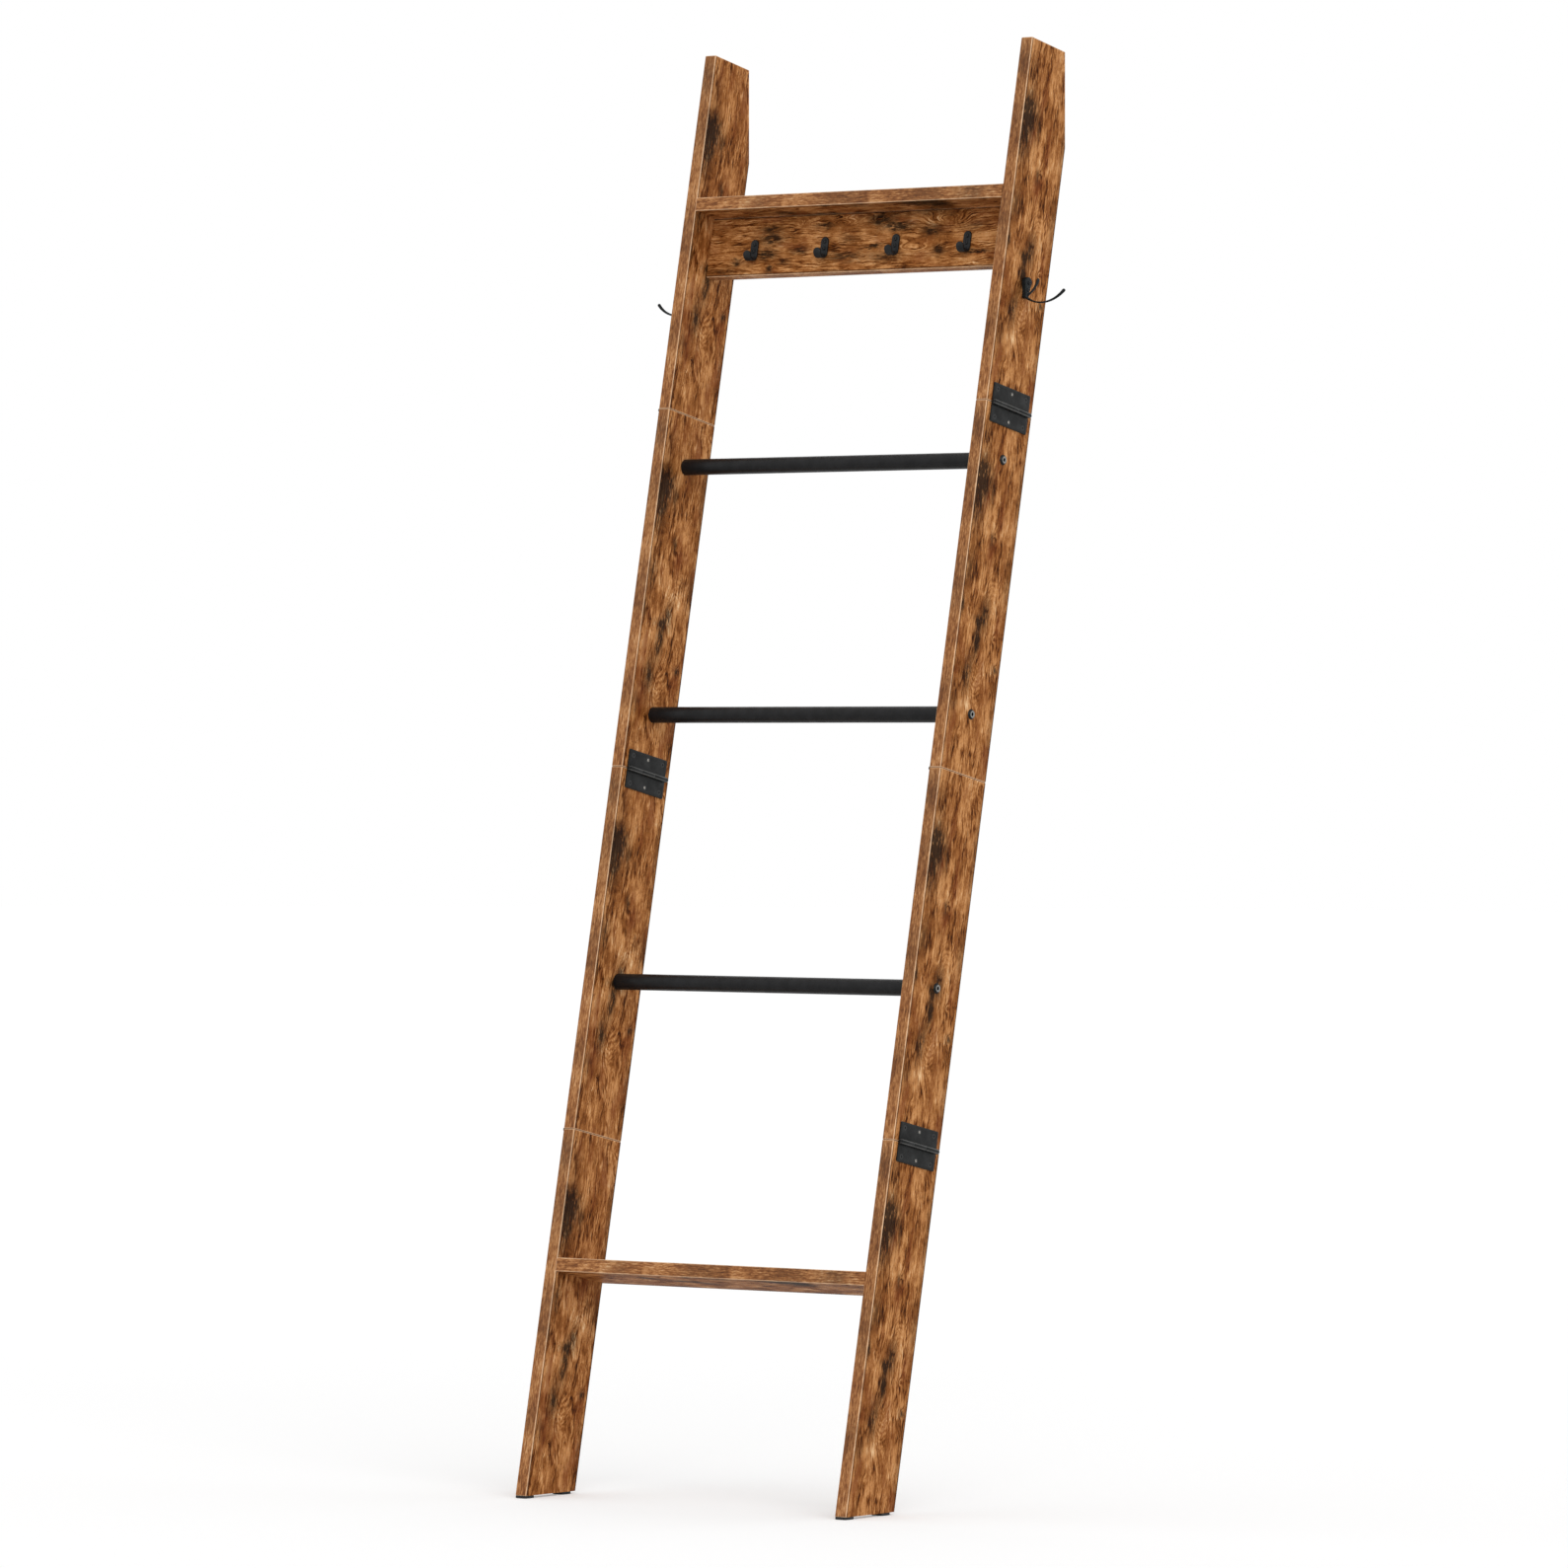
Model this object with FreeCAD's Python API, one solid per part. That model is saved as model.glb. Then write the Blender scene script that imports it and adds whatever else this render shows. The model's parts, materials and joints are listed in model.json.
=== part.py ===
import FreeCAD, Part
import math
import os

from FreeCAD import Vector

# A ladder rack that leans against a wall. It is drawn upright: X runs across the rack, Y from the front
# edge of the legs to their rear edge, and Z up along the legs from the front corner of the feet. The last
# step leans it back and sets it on its pads, with the origin on the floor under the middle of its box.

# Stance
lean_deg = 12.0
overall_width = 480.0

# Boards of the legs, shelves and panel
board_thickness = 16.0
board_edge_chamfer = 0.8
leg_depth = 90.0
section_length = 432.0
section_names = ("bottom", "lower", "upper", "top")
wall_flat_length = 113.0

# Pads under the feet
pad_size = 16.0
pad_height = 3.0
rear_pad_inset = 8.0

# Cross members: the shelves from the ends of the legs, each rung from the end of the section it is bolted to
lower_shelf_rise = 280.0
top_shelf_drop = 175.0
panel_height = 72.0
bottom_rung_rise = 183.0
middle_rung_rise = 71.0
top_rung_drop = 61.0
open_end_gap = 0.4

# Rung tubes with their end plugs and bolts
rung_diameter = 19.0
rung_wall = 1.2
rung_edge_round = 0.5
plug_length = 20.0
plug_floor = 5.0
plug_clearance = 0.05
plug_mouth_clearance = 2.6
plug_throat_clearance = 0.5
bolt_diameter = 6.0
bolt_hole_clearance = 0.2
bolt_tip_clearance = 1.0
bolt_head_diameter = 12.0
bolt_head_height = 2.5
bolt_head_round = 0.6
bolt_socket_across_flats = 4.0
bolt_socket_depth = 1.8

# Hinges
hinge_length = 72.0
leaf_reach = 23.0
leaf_thickness = 1.6
knuckle_diameter = 6.0
knuckle_wood_clearance = 0.4
knuckle_gap = 0.3
knuckle_count = 3
pin_diameter = 3.0
pin_clearance = 0.05
pin_head_diameter = 5.0
pin_head_length = 1.5
pin_end_length = 3.0
leaf_screw_row_share = 0.72
leaf_screw_pitch_share = 0.39

# Countersunk screws of the hinges
screw_diameter = 3.0
screw_head_diameter = 6.4
screw_length = 13.0
screw_clearance = 0.05
recess_length = 3.0
recess_width = 0.8
recess_depth = 0.9

# Cam fittings at the ends of the boards
cam_distance = 15.0
cam_diameter = 12.0
cam_height = 12.0
cam_clearance = 0.1
cam_back_room = 3.0
cam_bore_diameter = 8.4
cam_recess_length = 6.0
cam_recess_width = 1.4
cam_recess_depth = 1.6
cam_bolt_thread_diameter = 5.0
cam_bolt_thread_length = 11.0
cam_bolt_shank_diameter = 3.6
cam_bolt_head_diameter = 4.6
cam_bolt_head_length = 4.0
shelf_cam_shares = (0.28, 0.72)
panel_cam_shares = (0.25, 0.75)

# Hooks on the panel, bent from flat bar
panel_hook_count = 4
panel_hook_inset = 68.0
panel_hook_drop = 48.0
hook_bar_width = 10.5
hook_bar_thickness = 3.0
hook_bend_radius = 5.0
hook_plate_rise = 19.0
hook_plate_round_share = 0.45
hook_lip_rise = 3.0
hook_lip_round_share = 0.75
hook_screw_shares = (0.26, 0.68)

# Double hooks on the outer faces of the legs
side_hook_drop = 20.0
side_plate_thickness = 6.0
side_plate_top_radius = 7.0
side_plate_foot_radius = 2.4
side_plate_spacing = 16.0
side_screw_shares = (0.0, 0.5)
long_prong_diameter = 2.6
long_prong_reach = 56.5
long_prong_dip = 7.5
long_prong_tip_rise = 6.0
long_prong_dip_share = 0.5
short_prong_diameter = 3.0
short_prong_reach = 18.0
short_prong_rise = 19.5
short_prong_middle_shares = (0.7, 0.38)
prong_tip_diameter = 4.0

# Small round-head screws of both kinds of hook
hook_screw_diameter = 2.6
hook_screw_head_diameter = 4.6
hook_screw_head_height = 1.3
hook_screw_length = 14.0
hook_screw_recess_length = 2.4
hook_screw_recess_width = 0.6
hook_screw_recess_depth = 0.7

# Length by which a cutting tool runs past the material
overrun = 2.0

# Sizes that follow from those above
lean = math.radians(lean_deg)
half_width = overall_width / 2
inner_half_width = half_width - board_thickness
leg_length = section_length * len(section_names)
mid_depth = leg_depth / 2
leg_top_land = leg_depth - wall_flat_length * math.tan(lean)
foot_length = leg_depth / math.cos(lean)
rear_pad_start = foot_length - rear_pad_inset - pad_size
top_shelf_top = leg_length - top_shelf_drop
section_ends = [section_length * index for index in range(len(section_names) + 1)]
rung_places = {
    "bottom": section_ends[1] + bottom_rung_rise,
    "middle": section_ends[2] + middle_rung_rise,
    "top": section_ends[3] - top_rung_drop,
}
plug_bore_depth = plug_length - plug_floor
bolt_reach = plug_bore_depth - bolt_tip_clearance
leaf_screw_row = leaf_screw_row_share * leaf_reach
leaf_screw_pitch = leaf_screw_pitch_share * hinge_length
wall_depth = leg_top_land * math.cos(lean) + leg_length * math.sin(lean)
knuckle_radius = knuckle_diameter / 2
pin_offset = knuckle_radius + knuckle_wood_clearance
leaf_notch = knuckle_radius + knuckle_wood_clearance
knuckle_length = hinge_length / knuckle_count
panel_front = mid_depth - board_thickness / 2
panel_rear = mid_depth + board_thickness / 2
panel_top = top_shelf_top - board_thickness
panel_bottom = panel_top - panel_height
panel_hook_place = panel_top - panel_hook_drop
panel_hook_pitch = 2 * (inner_half_width - panel_hook_inset) / (panel_hook_count - 1)
side_hook_place = panel_bottom - side_hook_drop
hook_hole_diameter = hook_screw_diameter + 2 * screw_clearance
sides = {"left": -1, "right": 1}
hinge_joints = {"lower": 1, "middle": 2, "upper": 3}
outer_hinges = ("lower", "upper")
along_x = Vector(1, 0, 0)
along_y = Vector(0, 1, 0)
along_z = Vector(0, 0, 1)


def block(x_span, y_span, z_span):
    sizes = [max(span) - min(span) for span in (x_span, y_span, z_span)]
    return Part.makeBox(*sizes, Vector(min(x_span), min(y_span), min(z_span)))


def rod(diameter, length, start, direction):
    return Part.makeCylinder(diameter / 2, length, start, direction)


def joined(shapes):
    return shapes[0].fuse(shapes[1:]).removeSplitter()


def without(shape, tools):
    return shape.cut(tools)


def filled_outline(points):
    return Part.Face(Part.makePolygon(points + points[:1]))


def moved(shape, x, y, z):
    copy = shape.copy()
    copy.translate(Vector(x, y, z))
    return copy


def facing(shape, sign):
    # Turns a piece drawn against a face that looks along +X to one that looks along -X.
    copy = shape.copy()
    if sign < 0:
        copy.rotate(Vector(), along_z, 180)
    return copy


def leaned(shape):
    copy = shape.copy()
    copy.rotate(Vector(), along_x, -lean_deg)
    copy.translate(Vector(0, -wall_depth / 2, pad_height))
    return copy


def save(name, shapes):
    pieces = [leaned(shape) for shape in shapes]
    whole = pieces[0] if len(pieces) == 1 else Part.makeCompound(pieces)
    whole.exportStep(f"parts/{name}.step")


# Hinges, drawn on a face that looks along +X, with the joint between two leg sections at z = 0

def hinge_face(side, level):
    # The face that carries a hinge, and the way that this face looks.
    if level in outer_hinges:
        return side * half_width, side
    return side * inner_half_width, -side


def on_hinge_face(shape, side, level):
    face_x, looks = hinge_face(side, level)
    return moved(facing(shape, looks), face_x, mid_depth, hinge_joints[level] * section_length)


def leaf_screw_places(up):
    return [(row * leaf_screw_pitch, up * leaf_screw_row) for row in (-1, 0, 1)]


def knuckle_spans(up):
    # The leaf above carries the middle knuckle, the leaf below the two outer ones.
    first = -hinge_length / 2
    spans = []
    for index in range(knuckle_count):
        if (index % 2 == 1) == (up > 0):
            start = first + index * knuckle_length
            end = start + knuckle_length
            if index > 0:
                start += knuckle_gap / 2
            if index < knuckle_count - 1:
                end -= knuckle_gap / 2
            spans.append((start, end))
    return spans


def hinge_leaf(up):
    half = hinge_length / 2
    parts = [block((0, leaf_thickness), (-half, half), (up * leaf_notch, up * leaf_reach))]
    for start, end in knuckle_spans(up):
        parts.append(block((0, leaf_thickness), (start, end), (0, up * leaf_notch)))
        parts.append(rod(knuckle_diameter, end - start, Vector(pin_offset, start, 0), along_y))
    bore = rod(pin_diameter + 2 * pin_clearance, hinge_length, Vector(pin_offset, -half, 0), along_y)
    tools = [bore]
    for y, z in leaf_screw_places(up):
        narrow = screw_diameter / 2 + screw_clearance
        wide = screw_head_diameter / 2 + screw_clearance
        tools.append(Part.makeCone(narrow, wide, leaf_thickness, Vector(0, y, z), along_x))
    return without(joined(parts), tools)


def hinge_pin():
    half = hinge_length / 2
    head_start = Vector(pin_offset, -half - pin_head_length, 0)
    head = rod(pin_head_diameter, pin_head_length, head_start, along_y)
    stem = rod(pin_diameter, hinge_length + pin_end_length, Vector(pin_offset, -half, 0), along_y)
    return joined([head, stem])


def cross_recess(length, width, depth, top):
    # Two crossed slots sunk into a head whose flat top lies at x = top.
    wide = block((top - depth, top + overrun), (-length / 2, length / 2), (-width / 2, width / 2))
    tall = block((top - depth, top + overrun), (-width / 2, width / 2), (-length / 2, length / 2))
    return [wide, tall]


def hinge_screw():
    head = Part.makeCone(screw_diameter / 2, screw_head_diameter / 2, leaf_thickness, Vector(), along_x)
    stem = rod(screw_diameter, screw_length - leaf_thickness, Vector(), -along_x)
    whole = joined([head, stem])
    return without(whole, cross_recess(recess_length, recess_width, recess_depth, leaf_thickness))


def hinge_screws(side, level, up):
    screw = hinge_screw()
    return [on_hinge_face(moved(screw, 0, y, z), side, level) for y, z in leaf_screw_places(up)]


def hinge_pilots(side, level, up):
    hole = rod(screw_diameter + 2 * screw_clearance, screw_length - leaf_thickness, Vector(), -along_x)
    return [on_hinge_face(moved(hole, 0, y, z), side, level) for y, z in leaf_screw_places(up)]


# Places of the cam bolts: the depth and the height along the leg at which each one enters it

def shelf_cam_places(shelf_top):
    height = shelf_top - board_thickness / 2
    return [(share * leg_depth, height) for share in shelf_cam_shares]


def panel_cam_places():
    return [(mid_depth, panel_bottom + share * panel_height) for share in panel_cam_shares]


def upper_cam_places():
    return shelf_cam_places(top_shelf_top) + panel_cam_places()


def cam_bolt():
    # Drawn from a face that looks along +X: the thread lies in the leg, the head in the board.
    thread = rod(cam_bolt_thread_diameter, cam_bolt_thread_length, Vector(), -along_x)
    head_start = cam_distance - cam_bolt_head_length / 2
    shank = rod(cam_bolt_shank_diameter, cam_distance, Vector(), along_x)
    head = rod(cam_bolt_head_diameter, cam_bolt_head_length, Vector(head_start, 0, 0), along_x)
    return joined([thread, shank, head])


def cam_bolts(side, places):
    bolt = cam_bolt()
    return [moved(facing(bolt, -side), side * inner_half_width, y, z) for y, z in places]


def cam_pilots(side, places):
    hole = rod(cam_bolt_thread_diameter, cam_bolt_thread_length, Vector(), -along_x)
    return [moved(facing(hole, -side), side * inner_half_width, y, z) for y, z in places]


def cam():
    # Drawn about the bolt's axis at the origin, with its turning face up and its mouth towards -X.
    face = board_thickness / 2
    body = rod(cam_diameter, cam_height, Vector(0, 0, face - cam_height), along_z)
    half = cam_bore_diameter / 2
    mouth_end = cam_diameter / 2 + overrun
    mouth = block((-mouth_end, cam_back_room), (-half, half), (face - cam_height, half))
    slots = cross_recess(cam_recess_length, cam_recess_width, cam_recess_depth, face)
    for slot in slots:
        slot.rotate(Vector(), along_y, -90)
    return without(body, [mouth] + slots)


def cam_pocket():
    face = board_thickness / 2
    start = Vector(0, 0, face - cam_height)
    return rod(cam_diameter + 2 * cam_clearance, cam_height + overrun, start, along_z)


def cam_end_bore():
    start = Vector(-cam_distance - overrun, 0, 0)
    return rod(cam_bore_diameter, cam_distance + overrun + cam_back_room, start, along_x)


def at_board_ends(shape, places, face_rear):
    # Sets a cam, pocket or bore at both ends of a board, with its face to the rear or up.
    copies = []
    for side in sides.values():
        for y, z in places:
            copy = facing(shape, -side)
            if face_rear:
                copy.rotate(Vector(), along_x, -90)
            copies.append(moved(copy, side * (inner_half_width - cam_distance), y, z))
    return copies


# Hooks on the panel, drawn on a face at y = 0 that looks along -Y, with the bend's centre at z = 0

def hook_strip(rise, corner_round, depth_start):
    # A strip of bar that stands up from the bend, with round upper corners.
    half = hook_bar_width / 2
    strip = block((-half, half), (depth_start, depth_start + hook_bar_thickness), (0, rise))
    upper = [edge for edge in strip.Edges if edge.BoundBox.ZMin > rise / 2]
    corners = [edge for edge in upper if edge.BoundBox.XLength < half]
    return strip.makeFillet(corner_round, corners)


def panel_hook():
    half = hook_bar_width / 2
    plate_round = hook_plate_round_share * hook_bar_width
    plate = hook_strip(hook_plate_rise, plate_round, -hook_bar_thickness)
    lip_start = -2 * hook_bar_thickness - 2 * hook_bend_radius
    lip = hook_strip(hook_lip_rise, hook_lip_round_share * hook_lip_rise, lip_start)
    section = filled_outline([
        Vector(-half, -hook_bar_thickness, 0),
        Vector(half, -hook_bar_thickness, 0),
        Vector(half, 0, 0),
        Vector(-half, 0, 0),
    ])
    bend_centre = Vector(0, -hook_bar_thickness - hook_bend_radius, 0)
    bend = section.revolve(bend_centre, along_x, -180)
    hook = joined([plate, bend, lip])
    holes = []
    for share in hook_screw_shares:
        start = Vector(0, overrun, share * hook_plate_rise)
        holes.append(rod(hook_hole_diameter, hook_bar_thickness + 2 * overrun, start, -along_y))
    return without(hook, holes)


def panel_hook_xs():
    first = panel_hook_inset - inner_half_width
    return [first + index * panel_hook_pitch for index in range(panel_hook_count)]


def panel_hook_screw_places():
    return [(x, share * hook_plate_rise) for x in panel_hook_xs() for share in hook_screw_shares]


def round_head_screw(plate_thickness):
    # Drawn on a face that looks along +X, through a plate of the given thickness.
    head = rod(hook_screw_head_diameter, hook_screw_head_height, Vector(plate_thickness, 0, 0), along_x)
    middle = plate_thickness + hook_screw_head_height / 2
    rim = [edge for edge in head.Edges if edge.BoundBox.XMin > middle]
    head = head.makeFillet(hook_screw_head_height / 2, rim)
    stem_start = Vector(plate_thickness - hook_screw_length, 0, 0)
    stem = rod(hook_screw_diameter, hook_screw_length, stem_start, along_x)
    top = plate_thickness + hook_screw_head_height
    recess = cross_recess(hook_screw_recess_length, hook_screw_recess_width, hook_screw_recess_depth, top)
    return without(joined([head, stem]), recess)


def hook_pilot(plate_thickness):
    length = hook_screw_length - plate_thickness
    return rod(hook_hole_diameter, length, Vector(), -along_x)


def on_panel(shape, x, rise):
    copy = shape.copy()
    copy.rotate(Vector(), along_z, -90)
    return moved(copy, x, panel_front, panel_hook_place + rise)


# Double hooks on the legs, drawn on a face that looks along +X, with the plate's round top at z = 0

def side_plate():
    # A teardrop: a wide round top and a narrow round foot, joined by tangent lines.
    slant = math.asin((side_plate_top_radius - side_plate_foot_radius) / side_plate_spacing)
    rounds = []
    tangents = []
    top_round = (side_plate_top_radius, 0, 1)
    foot_round = (side_plate_foot_radius, -side_plate_spacing, -1)
    for radius, centre, way in (top_round, foot_round):
        ends = []
        for hand in (1, -1):
            y = hand * radius * math.cos(slant)
            ends.append(Vector(0, y, centre + radius * math.sin(slant)))
        rounds.append(Part.Arc(ends[0], Vector(0, 0, centre + way * radius), ends[1]).toShape())
        tangents.append(ends)
    lines = [Part.LineSegment(top, foot).toShape() for top, foot in zip(*tangents)]
    outline = Part.Wire(Part.__sortEdges__(rounds + lines))
    return Part.Face(outline).extrude(Vector(side_plate_thickness, 0, 0))


def prong(diameter, root, middle, tip):
    # A round bar along one arc, with a small ball at its tip.
    path = Part.Wire([Part.Arc(root, middle, tip).toShape()])
    heading = path.Edges[0].tangentAt(path.Edges[0].FirstParameter)
    section = Part.Wire([Part.makeCircle(diameter / 2, root, heading)])
    bar = path.makePipeShell([section], True, True)
    ball = Part.makeSphere(prong_tip_diameter / 2, tip)
    return [bar, ball]


def side_hook():
    root = Vector(side_plate_thickness / 2, 0, -side_plate_spacing)
    dip = Vector(long_prong_dip_share * long_prong_reach, 0, -side_plate_spacing - long_prong_dip)
    long_tip = Vector(long_prong_reach, 0, -side_plate_spacing + long_prong_tip_rise)
    across_share, up_share = short_prong_middle_shares
    bow = Vector(across_share * short_prong_reach, 0, -side_plate_spacing + up_share * short_prong_rise)
    short_tip = Vector(short_prong_reach, 0, -side_plate_spacing + short_prong_rise)
    pieces = [side_plate()]
    pieces += prong(long_prong_diameter, root, dip, long_tip)
    pieces += prong(short_prong_diameter, root, bow, short_tip)
    holes = []
    for z in side_screw_heights():
        start = Vector(-overrun, 0, z)
        holes.append(rod(hook_hole_diameter, side_plate_thickness + 2 * overrun, start, along_x))
    return without(joined(pieces), holes)


def side_screw_heights():
    return [-share * side_plate_spacing for share in side_screw_shares]


def on_leg(shape, side, z):
    return moved(facing(shape, side), side * half_width, mid_depth, side_hook_place + z)


# Legs

def leg_holes(side, index):
    bottom = index * section_length
    top = bottom + section_length
    tools = []
    for level, joint in hinge_joints.items():
        if joint == index:
            tools += hinge_pilots(side, level, 1)
        if joint == index + 1:
            tools += hinge_pilots(side, level, -1)
    for place in rung_places.values():
        if bottom < place < top:
            start = Vector(side * (inner_half_width - overrun), mid_depth, place)
            hole = bolt_diameter + 2 * bolt_hole_clearance
            tools.append(rod(hole, board_thickness + 2 * overrun, start, side * along_x))
    cam_places = shelf_cam_places(lower_shelf_rise) + upper_cam_places()
    tools += cam_pilots(side, [place for place in cam_places if bottom < place[1] < top])
    if bottom < side_hook_place < top:
        pilot = hook_pilot(side_plate_thickness)
        tools += [on_leg(pilot, side, z) for z in side_screw_heights()]
    return tools


def foot_cut():
    # Everything below the floor once the leg leans, so that the foot stands level.
    low = -overrun * math.tan(lean)
    high = (leg_depth + overrun) * math.tan(lean)
    outline = filled_outline([
        Vector(-half_width - overrun, -overrun, low),
        Vector(-half_width - overrun, leg_depth + overrun, high),
        Vector(-half_width - overrun, leg_depth + overrun, low - overrun),
        Vector(-half_width - overrun, -overrun, low - overrun),
    ])
    return outline.extrude(Vector(overall_width + 2 * overrun, 0, 0))


def wall_cut():
    # Everything behind the wall once the leg leans, so that the top rests flat against it.
    top = leg_length + overrun
    rear = leg_depth + overrun
    outline = filled_outline([
        Vector(-half_width - overrun, leg_top_land - overrun * math.tan(lean), top),
        Vector(-half_width - overrun, rear, top),
        Vector(-half_width - overrun, rear, leg_length - (rear - leg_top_land) / math.tan(lean)),
    ])
    return outline.extrude(Vector(overall_width + 2 * overrun, 0, 0))


def with_broken_edges(board, edges):
    return board.makeChamfer(board_edge_chamfer, edges)


def leg_section(side, index):
    ends = (index * section_length, (index + 1) * section_length)
    board = block((side * inner_half_width, side * half_width), (0, leg_depth), ends)
    tools = leg_holes(side, index)
    if index == 0:
        tools.append(foot_cut())
    if index == len(section_names) - 1:
        tools.append(wall_cut())
    return without(with_broken_edges(board, board.Edges), tools)


def foot_pad(side, start):
    # Drawn in the leaned frame's own level, then turned upright with the leg.
    xs = (side * inner_half_width, side * half_width)
    pad = block(xs, (start, start + pad_size), (-pad_height, 0))
    pad.rotate(Vector(), along_x, lean_deg)
    return pad


# Boards across the rack

def cross_board(right_gap, y_span, z_span):
    # Only its long edges are broken: its ends butt against the legs.
    board = block((-inner_half_width, inner_half_width - right_gap), y_span, z_span)
    return with_broken_edges(board, [edge for edge in board.Edges if edge.BoundBox.XLength > board_thickness])


def shelf(top, right_gap):
    board = cross_board(right_gap, (0, leg_depth), (top - board_thickness, top))
    places = shelf_cam_places(top)
    tools = at_board_ends(cam_pocket(), places, False) + at_board_ends(cam_end_bore(), places, False)
    return without(board, tools)


def hook_panel():
    board = cross_board(open_end_gap, (panel_front, panel_rear), (panel_bottom, panel_top))
    places = panel_cam_places()
    tools = at_board_ends(cam_pocket(), places, True) + at_board_ends(cam_end_bore(), places, True)
    pilot = hook_pilot(hook_bar_thickness)
    tools += [on_panel(pilot, x, z) for x, z in panel_hook_screw_places()]
    return without(board, tools)


def all_cams():
    piece = cam()
    shelf_places = shelf_cam_places(lower_shelf_rise) + shelf_cam_places(top_shelf_top)
    return at_board_ends(piece, shelf_places, False) + at_board_ends(piece, panel_cam_places(), True)


# Rungs

def rung(place):
    length = 2 * inner_half_width - open_end_gap
    start = Vector(-inner_half_width, mid_depth, place)
    tube = rod(rung_diameter, length, start, along_x)
    rims = [edge for edge in tube.Edges if edge.BoundBox.XLength < rung_wall]
    tube = tube.makeFillet(rung_edge_round, rims)
    bore_start = start - along_x * overrun
    bore = rod(rung_diameter - 2 * rung_wall, length + 2 * overrun, bore_start, along_x)
    return without(tube, [bore])


def rung_plug(side, place):
    # Lies flush in the tube's end. Its bore flares towards the leg, which guides the bolt in.
    end = side * inner_half_width - (open_end_gap if side > 0 else 0)
    start = Vector(end, mid_depth, place)
    inward = -side * along_x
    body = rod(rung_diameter - 2 * rung_wall - 2 * plug_clearance, plug_length, start, inward)
    mouth = bolt_diameter / 2 + plug_mouth_clearance
    throat = bolt_diameter / 2 + plug_throat_clearance
    flare = Part.makeCone(mouth, throat, plug_bore_depth, start, inward)
    return without(body, [flare])


def rung_bolt(side, place):
    face = Vector(side * half_width, mid_depth, place)
    outward = side * along_x
    head = rod(bolt_head_diameter, bolt_head_height, face, outward)
    rim_x = side * (half_width + bolt_head_height)
    rim = [edge for edge in head.Edges if abs(edge.BoundBox.Center.x - rim_x) < bolt_head_round]
    head = head.makeFillet(bolt_head_round, rim)
    stem = rod(bolt_diameter, board_thickness + bolt_reach, face, -outward)
    corner = bolt_socket_across_flats / math.sqrt(3)
    rim_centre = face + outward * (bolt_head_height - bolt_socket_depth)
    corners = []
    for turn in range(6):
        angle = math.radians(60 * turn)
        corners.append(rim_centre + Vector(0, corner * math.cos(angle), corner * math.sin(angle)))
    socket = filled_outline(corners).extrude(outward * (bolt_socket_depth + overrun))
    return without(joined([head, stem]), [socket])


def rung_level(place):
    return section_names[int(place // section_length)]


def rung_bolts(side, levels):
    return [rung_bolt(side, place) for place in rung_places.values() if rung_level(place) in levels]


# The pieces, one file each

os.makedirs("parts", exist_ok=True)

for hand, side in sides.items():
    for index, name in enumerate(section_names):
        save(f"{hand}_leg_{name}", [leg_section(side, index)])
    for level in hinge_joints:
        save(f"{hand}_{level}_hinge_leaf_below", [on_hinge_face(hinge_leaf(-1), side, level)])
        save(f"{hand}_{level}_hinge_leaf_above", [on_hinge_face(hinge_leaf(1), side, level)])
        save(f"{hand}_{level}_hinge_pin", [on_hinge_face(hinge_pin(), side, level)])
    for end, start in (("front", 0), ("rear", rear_pad_start)):
        save(f"{hand}_{end}_foot_pad", [foot_pad(side, start)])
    save(f"{hand}_side_hook", [on_leg(side_hook(), side, 0)])
    screws = [on_leg(round_head_screw(side_plate_thickness), side, z) for z in side_screw_heights()]
    save(f"{hand}_side_hook_screws", screws)

left, right = sides["left"], sides["right"]

fixed_screws = hinge_screws(right, "lower", -1)
for level in hinge_joints:
    for up in (-1, 1):
        fixed_screws += hinge_screws(left, level, up)
save("hinge_screws_fixed", fixed_screws)
save("hinge_screws_right_lower", hinge_screws(right, "lower", 1) + hinge_screws(right, "middle", -1))
save("hinge_screws_right_upper", hinge_screws(right, "middle", 1) + hinge_screws(right, "upper", -1))
save("hinge_screws_right_top", hinge_screws(right, "upper", 1))

save("lower_shelf", [shelf(lower_shelf_rise, 0)])
save("top_shelf", [shelf(top_shelf_top, open_end_gap)])
save("hook_panel", [hook_panel()])
save("cams", all_cams())
lower_places = shelf_cam_places(lower_shelf_rise)
fixed_bolts = cam_bolts(left, lower_places + upper_cam_places()) + cam_bolts(right, lower_places)
save("cam_bolts_fixed", fixed_bolts)
save("cam_bolts_right_top", cam_bolts(right, upper_cam_places()))

plugs = []
for name, place in rung_places.items():
    save(f"{name}_rung", [rung(place)])
    plugs += [rung_plug(side, place) for side in sides.values()]
save("rung_plugs", plugs)
save("rung_bolts_left", rung_bolts(left, section_names))
save("rung_bolt_right_lower", rung_bolts(right, ("lower",)))
save("rung_bolts_right_upper", rung_bolts(right, ("upper",)))

for number, x in enumerate(panel_hook_xs(), start=1):
    save(f"panel_hook_{number}", [moved(panel_hook(), x, panel_front, panel_hook_place)])
panel_screw = round_head_screw(hook_bar_thickness)
save("panel_hook_screws", [on_panel(panel_screw, x, z) for x, z in panel_hook_screw_places()])
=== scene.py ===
import json
import math

import bmesh
import bpy
from mathutils import Matrix, Vector

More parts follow.
